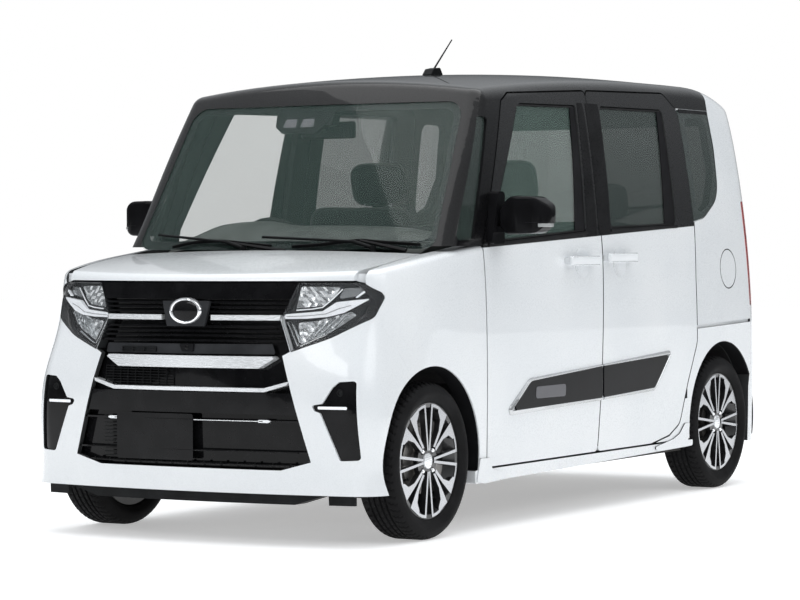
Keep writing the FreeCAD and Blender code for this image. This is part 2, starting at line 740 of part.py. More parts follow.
RAIL_IN, RAIL_OUT = 330.0, 384.0
BEAM_FRONT = 1605.0
PANEL_FRONT = 1520.0
APRON = 395.0
WELL_WALL = 548.0
TOWER_LOW = STRUT_TOP.z + 5.1
DOOR_BOTTOM = 229.0
SKIRT_THICK = 40.0


def wheel_housing(x, radius, y0, y1, low):
    ring = rod(V(x, y0, TYRE_RADIUS), V(x, y1, TYRE_RADIUS), radius + 8)
    ring = ring.cut(rod(V(x, y0 - 1, TYRE_RADIUS), V(x, y1 + 1, TYRE_RADIUS), radius + 2))
    return ring.common(box(x - 500, x + 500, 0, 900, low, 900))


def underbody():
    """Floor, sills, firewall, cargo floor, wheel housings, front rails and crossbars."""
    inside = between_sides(SKIN_THICK + SEAT_GAP)
    floor = box(CARGO_FRONT - FLOOR_THICK, FIREWALL, -640, 640, FLOOR_LOW, FLOOR_TOP)
    well = rod(V(FRONT_ARCH_X, 380, TYRE_RADIUS), V(FRONT_ARCH_X, 900, TYRE_RADIUS),
               FRONT_ARCH_RADIUS + 8)
    rear_well = rod(V(REAR_ARCH_X, WELL_WALL, TYRE_RADIUS), V(REAR_ARCH_X, 900, TYRE_RADIUS),
                    REAR_ARCH_RADIUS + 8)
    floor = floor.cut(both(well)).cut(both(rear_well))
    step = box(CARGO_FRONT - FLOOR_THICK, CARGO_FRONT, -640, 640, FLOOR_LOW, CARGO_FLOOR)
    cargo = box(REAR + 100, CARGO_FRONT, -640, 640, CARGO_FLOOR - FLOOR_THICK, CARGO_FLOOR)
    end = ahead_of_tail(TAIL_THICK + SEAT_GAP).common(
        box(REAR + 20, REAR + 110, -620, 620, CARGO_FLOOR - FLOOR_THICK, 640))
    rear = step.multiFuse([cargo, end]).cut(both(rear_well))
    wall = box(FIREWALL - 20, FIREWALL, -655, 655, FLOOR_LOW, PLENUM_TOP)
    plenum = box(FIREWALL - 10, 1172, -600, 600, PLENUM_TOP - 9, PLENUM_TOP)
    pillar = box(832, FIREWALL, 640, 720, FLOOR_TOP + SEAT_GAP, BELT).common(inside)
    pillar = pillar.common(under_bonnet(SKIN_THICK + SEAT_GAP))
    sill = between_sides(SKIRT_THICK + SEAT_GAP).common(box(-930, 900, 606, 900, 180, FLOOR_TOP))
    sill = sill.cut(rear_well)
    track = box(-800, -160, 664, 688, FLOOR_TOP - 1, DOOR_BOTTOM + GAP - SEAT_GAP)
    hinges = [box(815.5 + SEAT_GAP, 840, 668, 704, z, z + 60) for z in (330, 860)]
    rail = box(FIREWALL - 10, BEAM_FRONT, RAIL_IN, RAIL_OUT, 330, 420)
    apron = box(FIREWALL - 10, PANEL_FRONT, RAIL_OUT, APRON, 330, 800)
    tower = box(STRUT_TOP.x - 90, STRUT_TOP.x + 90, RAIL_OUT, 560, TOWER_LOW, TOWER_LOW + 10)
    cross = [box(BEAM_FRONT - 25, BEAM_FRONT, -480, 480, 250, 330),
             box(PANEL_FRONT - 25, PANEL_FRONT, -APRON, APRON, 800, 860)]
    post = box(PANEL_FRONT - 25, PANEL_FRONT, 350, RAIL_OUT, 330, 860)
    stop_x, stop_y = PANEL_FRONT - 12, 367
    stop = rod(V(stop_x, stop_y, 850), V(stop_x, stop_y, bonnet_z(stop_x, stop_y, SKIN_THICK) - 2), 9)
    liner = wheel_housing(FRONT_ARCH_X, FRONT_ARCH_RADIUS, RAIL_OUT, 700, 260).common(inside)
    liner = liner.cut(rod(BALL_JOINT, STRUT_TOP, 62)).cut(box(1500, 1700, 620, 900, 0, 900))
    rear_liner = wheel_housing(REAR_ARCH_X, REAR_ARCH_RADIUS, WELL_WALL, 690, FLOOR_LOW)
    rear_liner = rear_liner.cut(cabin_shell)
    rear_side = rod(V(REAR_ARCH_X, WELL_WALL - 8, TYRE_RADIUS), V(REAR_ARCH_X, WELL_WALL, TYRE_RADIUS),
                    REAR_ARCH_RADIUS + 8).common(box(-1700, 0, 0, 900, CARGO_FLOOR - 10, 900))
    pieces = [rear, wall, plenum] + cross
    for piece in [pillar, sill, track, rail, apron, tower, post, stop, liner, rear_liner,
                  rear_side] + hinges:
        pieces += [piece, mirror(piece)]
    body = floor.multiFuse(pieces)
    return body.cut(both(well.common(box(800, 1000, APRON, 900, 0, 640))))


# Cabin

def soft_block(x0, x1, y0, y1, z0, z1, radius):
    block = box(x0, x1, y0, y1, z0, z1)
    return block.makeFillet(radius, block.Edges)


def leaned(block, x, z, angle):
    """Tips a seat back rearwards about a cross line."""
    return block.rotated(V(x, 0, z), V(0, 1, 0), -angle)


def front_seat(y):
    base = box(170, 560, y - 190, y + 190, FLOOR_TOP, 470)
    cushion = soft_block(40, 600, y - 245, y + 245, 470, 620, 40)
    back = soft_block(-20, 110, y - 245, y + 245, 520, 1190, 45)
    post = box(30, 50, y - 60, y + 60, 1180, 1240)
    rest = soft_block(-5, 95, y - 130, y + 130, 1215, 1385, 38)
    back = leaned(back.multiFuse([post, rest]), 60, 600, 14)
    return base.multiFuse([cushion, back])


def rear_seat():
    base = box(-760, -380, -560, 560, FLOOR_TOP, 460)
    cushion = soft_block(-850, -330, -590, 590, 460, 600, 40)
    back = soft_block(-900, -790, -590, 590, 500, 1130, 40)
    rests = []
    for y in (-300, 300):
        rests += [box(-855, -835, y - 50, y + 50, 1120, 1180),
                  soft_block(-890, -800, y - 125, y + 125, 1165, 1320, 34)]
    back = leaned(back.multiFuse(rests), -845, 580, 12)
    return base.multiFuse([cushion, back])


STEER_CENTRE = V(585, -310, 985)
STEER_AXIS = V(-math.cos(math.radians(26)), 0, math.sin(math.radians(26)))
STEER_RADIUS = 178.0


def dashboard():
    outline = [(FIREWALL - 20 - SEAT_GAP, 660), (FIREWALL - 20 - SEAT_GAP, 990),
               (870, 1036, 30), (690, 1030, 40), (640, 960, 40), (668, 800, 60), (740, 660)]
    board = prism(outline, 8, "Y", -630, 630)
    column = rod(STEER_CENTRE - STEER_AXIS * (28 + SEAT_GAP), STEER_CENTRE - STEER_AXIS * 190, 32)
    hood = soft_block(650, 740, -430, -190, 1000, 1062, 18)
    return board.multiFuse([column, hood])


def steering_wheel():
    ring = Part.makeTorus(STEER_RADIUS, 14, STEER_CENTRE, STEER_AXIS)
    hub = rod(STEER_CENTRE - STEER_AXIS * 28, STEER_CENTRE + STEER_AXIS * 4, 58, 50)
    across = V(0, 1, 0)
    down = STEER_AXIS.cross(across)
    if down.z > 0:
        down = down * -1
    start = STEER_CENTRE - STEER_AXIS * 12
    spokes = [rod(start, STEER_CENTRE + d * STEER_RADIUS, 15, 11) for d in (across, -across, down)]
    return ring.multiFuse([hub] + spokes)


def interior_mirror():
    """The mirror on its stem, with the sensor pod on the windscreen."""
    x = screen_x(0, 1500) - 8
    pod = prism([(x - 4, 1500), (x - 60, 1500), (x - 70, 1560), (x - 44, 1570)], 4, "Y", -70, 70)
    pod = pod.common(behind_screen(3 + 5 + SEAT_GAP))
    stem = rod(V(x - 50, 0, 1515), V(x - 96, 0, 1488), 8)
    glass = soft_block(x - 108, x - 84, -120, 120, 1455, 1520, 10)
    return pod.multiFuse([stem, glass])


# Engine, tank, exhaust and axles

ENGINE_LOW = 260.0


def knuckle():
    """The left upright with its hub, disc, caliper and strut."""
    axis = (STRUT_TOP - BALL_JOINT).normalize()
    centre = V(FRONT_AXLE, TRACK_HALF, TYRE_RADIUS)
    strut = rod(BALL_JOINT + axis * 200, STRUT_TOP, 21)
    boss = rod(BALL_JOINT + axis * 16, BALL_JOINT + axis * 215, 24)
    spring = rod(BALL_JOINT + axis * 420, STRUT_TOP - axis * 20, 42)
    bearing = rod(V(centre.x, 575, centre.z), V(centre.x, 664, centre.z), 44)
    disc = rod(V(centre.x, 664, centre.z), V(centre.x, 676, centre.z), 118)
    hub = rod(V(centre.x, 660, centre.z), V(centre.x, HUB_FACE - SEAT_GAP, centre.z), 62)
    caliper = turned([(84, 640), (150, 640), (150, 684), (84, 684)], V(centre.x, 0, centre.z))
    wedge = prism([(0, 0), (200, 75), (200, -75)], 0, "Y", 600, 700)
    wedge = wedge.rotated(V(0, 0, 0), V(0, 1, 0), 150).translated(V(centre.x, 0, centre.z))
    arm = rod(V(centre.x, 600, centre.z), V(centre.x - 95, 640, centre.z - 55), 16)
    return strut.multiFuse([boss, spring, bearing, disc, hub, caliper.common(wedge), arm])


def front_suspension():
    """The lower arms on a cross member, each with its ball joint's pin."""
    beam = box(1130, 1210, -330, 330, 190, 250)
    end = BALL_JOINT
    arm = prism([(1110, 300), (1230, 300), (end.x + 26, end.y - 40, 12), (end.x + 22, end.y + 18, 18),
                 (end.x - 22, end.y + 18, 18), (end.x - 30, end.y - 50, 12)], 0, "Z", 140, 162)
    post = box(1130, 1200, 300, 340, 150, 200)
    pin = rod(V(end.x, end.y, 150), V(end.x, end.y, 178.9), 9)
    mount = box(1130, 1210, 335, 380, 190, 330 - SEAT_GAP)
    pieces = []
    for piece in (arm, post, pin, mount):
        pieces += [piece, mirror(piece)]
    return beam.multiFuse(pieces)


def engine():
    """The engine and gearbox as one block on its two side mounts."""
    block = box(1010, 1560, -310, 310, ENGINE_LOW, 780)
    mount = box(1240, 1330, 300, RAIL_IN - SEAT_GAP, 350, 400)
    return block.multiFuse([mount, mirror(mount)])


def rear_axle():
    """The twist beam: trailing arms, cross beam, drums, springs and dampers."""
    z = TYRE_RADIUS
    step = CARGO_FRONT - FLOOR_THICK
    roof = CARGO_FLOOR - FLOOR_THICK - SEAT_GAP
    beam = rod(V(REAR_AXLE + 130, -505, z - 20), V(REAR_AXLE + 130, 505, z - 20), 32)
    arm = prism([(step - 70, z - 50, 12), (step - 70, z + 6, 12), (REAR_AXLE + 60, z + 40, 20),
                 (REAR_AXLE - 70, z + 40, 20), (REAR_AXLE - 70, z - 42, 20),
                 (REAR_AXLE + 60, z - 50, 20)], 0, "Y", 490, 525)
    mount = box(step - 84, step - SEAT_GAP, 478, 537, z - 44, z + 4)
    stub = rod(V(REAR_AXLE, 500, z), V(REAR_AXLE, 640, z), 38)
    drum = rod(V(REAR_AXLE, 622, z), V(REAR_AXLE, 684, z), 104)
    hub = rod(V(REAR_AXLE, 680, z), V(REAR_AXLE, HUB_FACE - SEAT_GAP, z), 56)
    damper = rod(V(REAR_AXLE - 50, 508, z + 20), V(REAR_AXLE - 50, 508, roof), 20)
    spring = rod(V(REAR_AXLE + 130, 420, z), V(REAR_AXLE + 130, 420, roof), 46)
    pieces = []
    for piece in (arm, mount, stub, drum, hub, damper, spring):
        pieces += [piece, mirror(piece)]
    return beam.multiFuse(pieces)


def exhaust():
    """A pipe from the engine to the silencer behind the rear axle, and its tail pipe."""
    front = pipe([V(1080, -120, ENGINE_LOW - SEAT_GAP), V(1080, -120, 166), V(-1190, -120, 166),
                  V(-1370, -120, 300)], 22, 50)
    tail = pipe([V(-1430, -380, 300), V(-1550, -380, 222), V(-1622, -380, 214)], 20, 50)
    silencer = rod(V(-1400, -430, 300), V(-1400, 60, 300), 62)
    hanger = box(-1412, -1388, -300, -288, 340, CARGO_FLOOR - FLOOR_THICK - SEAT_GAP)
    strap = box(-640, -620, -126, -114, 170, FLOOR_LOW - SEAT_GAP)
    return silencer.multiFuse([front, tail, hanger, strap])


# Wheels

SPOKE_FRONT = 714.0
SPOKE_BACK = 692.0
SPOKE_RISE = 1.6
SPOKE_REACH = 203.0
HUB_RADIUS = 70.0
NUT_CIRCLE = 50.0
NUT_POCKET = 12.0


def spoke(corners, low, high):
    """A spoke's outline, each corner as a radius and an angle off the wheel's upright line."""
    flat = [(r * math.sin(math.radians(t)), r * math.cos(math.radians(t))) for r, t in corners]
    return prism(flat, 0, "Y", low, high)


def rim():
    """The left wheel: a barrel with a dished lip, and eight flared spokes, each joined along the
    rim to a slim one, so that the slim ones stand in four narrow pairs."""
    centre = V(0, TRACK_HALF, 0)
    half = RIM_WIDTH / 2
    seat = BEAD_RADIUS - SEAT_GAP
    lip = SPOKE_FRONT - TRACK_HALF - SPOKE_RISE
    outer = [(FLANGE_RADIUS, lip), (FLANGE_RADIUS, half), (seat, half),
             (seat, half - 22), (seat - 14, half - 34), (seat - 14, -half + 34),
             (seat, -half + 22), (seat, -half), (FLANGE_RADIUS, -half),
             (FLANGE_RADIUS, -half - FLANGE_THICK)]
    inner = [(seat - BARREL_WALL - 2, -half - FLANGE_THICK), (seat - 14 - BARREL_WALL, -half + 30),
             (seat - 14 - BARREL_WALL, half - 34), (seat - BARREL_WALL, half - 12),
             (seat + 1, half + 4)]
    barrel = turned(outer + inner, centre)
    hub = turned([(0, HUB_FACE - TRACK_HALF), (HUB_RADIUS, HUB_FACE - TRACK_HALF),
                  (HUB_RADIUS - 4, 56), (0, 58)], centre)
    reach = SPOKE_REACH
    slim = spoke([(38, 1), (38, 14), (reach, 8.8), (reach, 5.8)], SPOKE_BACK, SPOKE_FRONT)
    flared = spoke([(58, 33), (125, 35), (165, 30), (184, 22), (reach, 20), (reach, 39.5),
                    (125, 41.5), (64, 44)], SPOKE_BACK, SPOKE_FRONT)
    bridge = spoke([(reach - 10, 6), (reach - 9.3, 14), (reach - 10, 22), (reach, 22),
                    (reach + 0.7, 14), (reach, 6)], TRACK_HALF + half, SPOKE_FRONT)
    bead_room = turned([(seat, -half), (seat, half), (FLANGE_RADIUS + 5, half),
                        (FLANGE_RADIUS + 5, -half)], centre)
    spokes = []
    for quarter in range(4):
        for piece in (slim.cut(bead_room), flared.cut(bead_room), bridge):
            for half_piece in (piece, piece.mirror(V(0, 0, 0), V(1, 0, 0))):
                spokes.append(half_piece.rotated(V(0, 0, 0), V(0, 1, 0), 90.0 * quarter))
    wheel = barrel.multiFuse([hub] + spokes)
    for i in range(4):
        a = math.radians(45 + 90 * i)
        x, z = NUT_CIRCLE * math.cos(a), NUT_CIRCLE * math.sin(a)
        wheel = wheel.cut(rod(V(x, TRACK_HALF + 48, z), V(x, TRACK_HALF + 80, z), NUT_POCKET))
    return wheel


def tyre():
    """The left tyre in few turned faces: tread, shoulders, sidewalls and beads at the flanges."""
    bead = RIM_WIDTH / 2 - SEAT_GAP
    wide = TYRE_WIDTH / 2
    side = [(BEAD_RADIUS, bead), (FLANGE_RADIUS + 1, bead), (SIDEWALL_RADIUS, wide),
            (TYRE_RADIUS, TREAD_HALF)]
    return turned(side + [(r, -across) for r, across in reversed(side)], V(0, TRACK_HALF, 0))


def at_axle(shape, x, left):
    placed = shape.translated(V(x, 0, TYRE_RADIUS))
    return placed if left else mirror(placed)


def save(name, shape):
    """Writes a sub-part as a STEP file."""
    solids = [s for s in shape.Solids if s.Volume > 300]
    result = solids[0] if len(solids) == 1 else Part.makeCompound(solids)
    if not solids or not result.isValid():
        print("CHECK", name, len(solids), result.isValid())
    result.exportStep(f"parts/{name}.step")


def save_pair(name, left):
    save(name + "_left", left)
    save(name + "_right", mirror(left))


door, door_glass = front_doors()
save_pair("front_door", door)
save_pair("front_door_glass", door_glass)
trim = Part.makeCompound([garnish(FRONT_GARNISH), handle(-52, 190, 983), mirror_housing()])
save_pair("front_door_trim", trim)
slider, slider_glass = sliding_doors()
save_pair("sliding_door", slider)
save("side_glass", both(Part.makeCompound([slider_glass, quarter_glass(), pane(PILLAR_WINDOW, 14)])))
save("sliding_door_trim", both(Part.makeCompound([garnish(REAR_GARNISH),
                                                  handle(-388, -140, 992)])))
gate, gate_glass = tailgate_pieces()
save("tailgate", gate)
save("tailgate_glass", gate_glass)
quarter_plain, quarter_left, flap = quarter_panel()
save("quarter_panel_left", quarter_left)
save("quarter_panel_right", mirror(quarter_plain))
save("fuel_flap", flap)
save("bonnet", bonnet_pieces())
fender, bumper = front_shells()
save_pair("fender", fender)
save("front_bumper", bumper)
save("headlamps", both(lamp_solid()))
save("grille", grille())
save("grille_bars", chrome_bars())
save("fog_bezels", fog_bezels())
save("front_lip", front_lip())
save("number_plate", number_plate())
save("roof", roof_and_pillars())
save("windscreen", windscreen())
save("cowl", cowl())
save("rear_bumper", rear_bumper())
save("tail_lamps", tail_lamps())
save("side_skirts", both(side_layer(0, SKIRT_THICK).common(prism(SKIRT, 8, "Y", 480, 900))))
save("underbody", underbody())
save("front_seats", both(front_seat(300)))
save("rear_seat", rear_seat())
save("dashboard", dashboard())
save("steering_wheel", steering_wheel())
save("interior_mirror", interior_mirror())
save("engine_block", engine())
save("fuel_tank", soft_block(-860, -330, -70, 420, 150, FLOOR_LOW - SEAT_GAP, 12))
save("exhaust", exhaust())
save("front_suspension", front_suspension())
save("rear_axle", rear_axle())
save("antenna", antenna())
save_pair("knuckle", knuckle())
wheel, tread = rim(), tyre()
for axle, x in (("front", FRONT_AXLE), ("rear", REAR_AXLE)):
    for side, left in (("left", True), ("right", False)):
        save(f"rim_{axle}_{side}", at_axle(wheel, x, left))
        save(f"tyre_{axle}_{side}", at_axle(tread, x, left))
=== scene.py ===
import bpy
import bmesh
import json
import math
import numpy as np
from mathutils import Matrix, Vector
from mathutils.geometry import delaunay_2d_cdt


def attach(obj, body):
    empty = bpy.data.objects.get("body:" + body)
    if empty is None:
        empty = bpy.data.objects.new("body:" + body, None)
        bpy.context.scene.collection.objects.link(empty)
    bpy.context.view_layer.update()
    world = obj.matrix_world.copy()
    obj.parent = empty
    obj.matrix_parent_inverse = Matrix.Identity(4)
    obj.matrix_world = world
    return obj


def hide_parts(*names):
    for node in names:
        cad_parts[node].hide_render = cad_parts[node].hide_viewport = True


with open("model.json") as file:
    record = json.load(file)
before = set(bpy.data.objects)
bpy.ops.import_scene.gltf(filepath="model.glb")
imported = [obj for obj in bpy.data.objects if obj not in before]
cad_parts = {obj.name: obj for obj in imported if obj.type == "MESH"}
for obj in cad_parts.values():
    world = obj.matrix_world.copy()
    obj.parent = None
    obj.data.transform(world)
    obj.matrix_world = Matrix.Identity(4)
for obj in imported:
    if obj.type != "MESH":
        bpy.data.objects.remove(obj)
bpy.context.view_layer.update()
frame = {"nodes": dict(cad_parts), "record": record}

MM = 0.001
MERGE_METRES, BEVEL_ANGLE, CREASE_ANGLE = 0.00001, 50, 22

# The body's own measures, as in the part, in millimetres
LENGTH, WIDTH = 3395.0, 1475.0
FRONT, REAR = LENGTH / 2, -LENGTH / 2
TRACK_HALF, TYRE_RADIUS, TYRE_WIDTH = 650.0, 281.0, 165.0
FLANGE_RADIUS, RIM_HALF, BEAD_RADIUS = 207.0, 57.0, 190.5
AXLES = {"front": 1210.0, "rear": -1250.0}
SIDES = {"left": 1, "right": -1}


def smooth_step(value, start, end):
    """0 before start, 1 after end, 3t^2 - 2t^3 between them."""
    t = np.clip((np.asarray(value, float) - start) / (end - start), 0, 1)
    return t * t * (3 - 2 * t)


def half_width(x, z):
    """Half the body's width: parabolas in height, pulled in towards the nose, screen and tail."""
    x, z = np.asarray(x, float), np.asarray(z, float)
    width = WIDTH / 2 - np.where(z > 650, 8.9e-5, 3e-5) * (z - 650) ** 2
    width = width - np.where(x > 600, 26 * ((x - 600) / 470) ** 2, 0) * smooth_step(z, 900, 1200)
    run = np.maximum(0, (x - 1150) / 350)
    width = width - 42 * np.where(run < 1, run * run, 2 * run - 1) * smooth_step(z, 380, 860)
    return width - np.where(x < -900, 10 * ((-x - 900) / 700) ** 2, 0)


def nose_x(y, z):
    """The front face: parabolas in height, swept back with the square of the distance across."""
    y, z = np.asarray(y, float), np.asarray(z, float)
    centre = FRONT - np.where(z < 500, 4.5e-4 * (500 - z) ** 2 / 4, 14 * ((z - 500) / 425) ** 2)
    return centre - (1.28e-4 + 2.4e-4 * smooth_step(z, 520, 880)) * y * y


def tail_x(y, z):
    """The rear face: upright below, leaning forwards with the square of the height above."""
    y, z = np.asarray(y, float), np.asarray(z, float)
    lean = np.where(z > 400, 5.5e-5 * (z - 400) ** 2, 0) + np.where(z > 1450, 6e-4 * (z - 1450) ** 2, 0)
    return REAR + lean + 5e-5 * y * y


def screen_x(y, z):
    """The windscreen: a leaning line, bent back with the square of the distance across."""
    return 1115 - 0.608 * (np.asarray(z, float) - 1039) - 1.2e-4 * np.asarray(y, float) ** 2


# Places on the body's surfaces: two coordinates and a depth under the skin

def on(skin, axis=0, inward=-1):
    """A place function: two coordinates on a skin, and a depth under it along the axis."""
    def place(points, depth):
        points = np.asarray(points, float)
        return np.insert(points, axis, skin(points[:, 0], points[:, 1]) + inward * depth, 1)
    return place


on_nose, on_side, on_tail, on_screen = on(nose_x), on(half_width, 1), on(tail_x, 0, 1), on(screen_x)


def cad_triangles(*names):
    """The corners of CAD nodes' triangles in millimetres, as an array (triangle, corner, axis)."""
    found = []
    for name in names:
        mesh = frame["nodes"][name].data
        mesh.calc_loop_triangles()
        corners = np.empty(len(mesh.loop_triangles) * 3, np.int32)
        mesh.loop_triangles.foreach_get("vertices", corners)
        points = np.empty(len(mesh.vertices) * 3)
        mesh.vertices.foreach_get("co", points)
        found.append(points.reshape(-1, 3)[corners].reshape(-1, 3, 3))
    return np.concatenate(found) / MM


GRID_STEP, GRID_MARGIN, CHUNK = 9.0, 2, 400
FLAT_AREA, EDGE_SLACK = 1e-3, 1e-3


def lie_on(axis, sign, *names):
    """A place function for the outermost CAD surface along an axis: the highest of the triangles
    that hold each point, or the height of the nearest point of a grid over them where none does."""
    triangles = cad_triangles(*names)
    flat = [i for i in range(3) if i != axis]
    corner, height = triangles[:, :, flat], triangles[:, :, axis] * sign
    edge_a, edge_b = corner[:, 1] - corner[:, 0], corner[:, 2] - corner[:, 0]
    area = edge_a[:, 0] * edge_b[:, 1] - edge_a[:, 1] * edge_b[:, 0]
    keep = np.abs(area) > FLAT_AREA
    corner, height, edge_a, edge_b, area = (a[keep] for a in (corner, height, edge_a, edge_b, area))

    def heights(points):
        found = np.full(len(points), -np.inf)
        for start in range(0, len(points), CHUNK):
            gap = points[start:start + CHUNK, None] - corner[None, :, 0]
            a = (gap[..., 0] * edge_b[:, 1] - gap[..., 1] * edge_b[:, 0]) / area
            b = (edge_a[:, 0] * gap[..., 1] - edge_a[:, 1] * gap[..., 0]) / area
            value = height[:, 0] + a * (height[:, 1] - height[:, 0]) + b * (height[:, 2] - height[:, 0])
            inside = (a > -EDGE_SLACK) & (b > -EDGE_SLACK) & (a + b < 1 + EDGE_SLACK)
            found[start:start + CHUNK] = np.where(inside, value, -np.inf).max(1)
        return found

    low, high = corner.min((0, 1)), corner.max((0, 1))
    grid = np.stack(np.meshgrid(*[np.arange(low[i] + GRID_MARGIN, high[i], GRID_STEP) for i in range(2)]),
                    -1).reshape(-1, 2)
    known = heights(grid)
    grid, known = grid[np.isfinite(known)], known[np.isfinite(known)]

    def place(points, depth):
        found = heights(points)
        miss = ~np.isfinite(found)
        if miss.any():
            apart = ((points[miss][:, None] - grid[None]) ** 2).sum(2)
            found[miss] = known[apart.argmin(1)]
        result = np.empty((len(points), 3))
        result[:, flat] = points
        result[:, axis] = sign * (found - depth)
        return result
    return place


# Mesh makers

def grid_faces(rows, columns, close_rows=False, close_columns=False):
    """Quads between the neighbours of a grid of points, joined round where it closes."""
    r = np.arange(rows if close_rows else rows - 1)[:, None]
    c = np.arange(columns if close_columns else columns - 1)[None]
    below, beside = (r + 1) % rows, (c + 1) % columns
    quads = [r * columns + c, r * columns + beside, below * columns + beside, below * columns + c]
    return np.stack([q.ravel() for q in quads], 1).tolist()


def joined_parts(*parts):
    """Several (points, faces) forms as one."""
    points, faces, start = [], [], 0
    for part_points, part_faces in parts:
        points.append(part_points)
        faces += [[i + start for i in face] for face in part_faces]
        start += len(part_points)
    return np.concatenate(points), faces


def mirrored(part):
    """The form's mirror image across the car, facing outwards again."""
    points, faces = part
    return points * (1, -1, 1), [face[::-1] for face in faces]


def both_sides(part):
    return joined_parts(part, mirrored(part))


def make_piece(name, part, material, body="root", replaces=(), slot=None, bevel=0.0, crease=35.0):
    """A piece of the scene from (points, faces) in millimetres, riding on one body."""
    points, faces = part
    mesh = bpy.data.meshes.new(name)
    mesh.from_pydata((np.asarray(points, float) * MM).tolist(), [], faces)
    work = bmesh.new()
    work.from_mesh(mesh)
    bmesh.ops.remove_doubles(work, verts=work.verts, dist=MERGE_METRES)
    bmesh.ops.recalc_face_normals(work, faces=work.faces)
    work.to_mesh(mesh)
    work.free()
    mesh.materials.append(material)
    mesh.polygons.foreach_set("use_smooth", np.ones(len(mesh.polygons), bool))
    mesh.set_sharp_from_angle(angle=math.radians(crease))
    piece = bpy.data.objects.new(name, mesh)
    bpy.context.collection.objects.link(piece)
    if bevel:
        rounding = piece.modifiers.new("edge", "BEVEL")
        rounding.width = bevel * MM
        rounding.segments = 2
        rounding.limit_method = "ANGLE"
        rounding.angle_limit = math.radians(BEVEL_ANGLE)
        rounding.harden_normals = False
    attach(piece, body)
    if replaces:
        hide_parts(*replaces)
    slot = slot or SLOT_OF.get(material.name, "grained_black")
    return piece


NEARLY_STRAIGHT, CUT_SHARE, EDGE_CLEARANCE = 1.56, 0.48, 0.4


def rounded(corners, radius=8.0, step=8.0):
    """A closed outline through corner points; each corner is an arc of its own or the given radius,
    with the arc's centre on the corner's bisector."""
    outline = []
    for i, corner in enumerate(corners):
        here = np.array(corner[:2], float)
        before = np.array(corners[i - 1][:2], float) - here
        after = np.array(corners[(i + 1) % len(corners)][:2], float) - here
        long_before, long_after = np.linalg.norm(before), np.linalg.norm(after)
        before, after = before / long_before, after / long_after
        half = math.acos(np.clip(before @ after, -1, 1)) / 2
        size = corner[2] if len(corner) > 2 else radius
        if size <= 0 or half > NEARLY_STRAIGHT:
            outline.append(here[None])
            continue
        cut = min(size / math.tan(half), CUT_SHARE * long_before, CUT_SHARE * long_after)
        size = cut * math.tan(half)
        middle = here + (before + after) / np.linalg.norm(before + after) * size / math.sin(half)
        first, last = here + before * cut - middle, here + after * cut - middle
        swing = math.atan2(first[0] * last[1] - first[1] * last[0], first @ last)
        turn = np.linspace(0, swing, max(3, int(abs(swing) * size / step) + 2))
        outline.append(middle + np.stack([first[0] * np.cos(turn) - first[1] * np.sin(turn),
                                          first[0] * np.sin(turn) + first[1] * np.cos(turn)], 1))
    return np.concatenate(outline)


def with_steps(outline, step):
    """The closed outline with points at most a step apart."""
    parts = []
    for start, end in zip(outline, np.roll(outline, -1, 0)):
        count = max(1, int(np.linalg.norm(end - start) / step))
        parts.append(start + (end - start) * np.arange(count)[:, None] / count)
    return np.concatenate(parts)


def filled(outline, step):
    """Triangles over an outline, with inner corners on a grid of that step."""
    start, end = outline, np.roll(outline, -1, 0)
    low, high = outline.min(0), outline.max(0)
    grid = np.stack(np.meshgrid(*[np.arange(low[i] + step / 2, high[i], step) for i in range(2)]),
                    -1).reshape(-1, 2)
    crosses = (start[:, 1] > grid[:, None, 1]) != (end[:, 1] > grid[:, None, 1])
    rise = np.where(end[:, 1] == start[:, 1], 1, end[:, 1] - start[:, 1])
    at = start[:, 0] + (grid[:, None, 1] - start[:, 1]) / rise * (end[:, 0] - start[:, 0])
    inside = (crosses & (grid[:, None, 0] < at)).sum(1) % 2 == 1
    run = end - start
    t = np.clip(((grid[:, None] - start) * run).sum(2) / np.maximum((run * run).sum(1), 1e-9), 0, 1)
    near = np.linalg.norm(start + t[..., None] * run - grid[:, None], axis=2).min(1)
    grid = grid[inside & (near > step * EDGE_CLEARANCE)]
    every = np.concatenate([outline, grid])
    count = len(outline)
    edges = [(i, (i + 1) % count) for i in range(count)]
    points, _, faces, *_ = delaunay_2d_cdt([Vector(p) for p in every.tolist()], edges, [], 1, 1e-6)
    return np.array([tuple(p) for p in points]), [list(f) for f in faces]


def border_of(faces):
    """The directed edges that only one triangle has."""
    triangles = np.array(faces)
    edges = np.concatenate([triangles[:, [0, 1]], triangles[:, [1, 2]], triangles[:, [2, 0]]])
    size = edges.max() + 1
    code, back = edges[:, 0] * size + edges[:, 1], edges[:, 1] * size + edges[:, 0]
    return edges[~np.isin(code, back)]


def closed_panel(front, back, faces):
    """The same triangles over two sets of corners, and a wall round their edge."""
    border, count = border_of(faces), len(front)
    wall = np.stack([border[:, 0], border[:, 0] + count, border[:, 1] + count, border[:, 1]], 1)
    under = [[i + count for i in face[::-1]] for face in faces]
    return np.concatenate([front, back]), faces + under + wall.tolist()


def plate(outline, place, front, back, step=25.0):
    """A closed panel: the filled outline at two depths of a surface."""
    flat, faces = filled(with_steps(outline, step), step)
    return closed_panel(place(flat, front), place(flat, back), faces)


def capped(points):
    """Rows of closed rings as a tube with both ends filled."""
    rows, columns = points.shape[:2]
    ends = [list(range(columns))[::-1], list(range((rows - 1) * columns, rows * columns))]
    return points.reshape(-1, 3), grid_faces(rows, columns, False, True) + ends


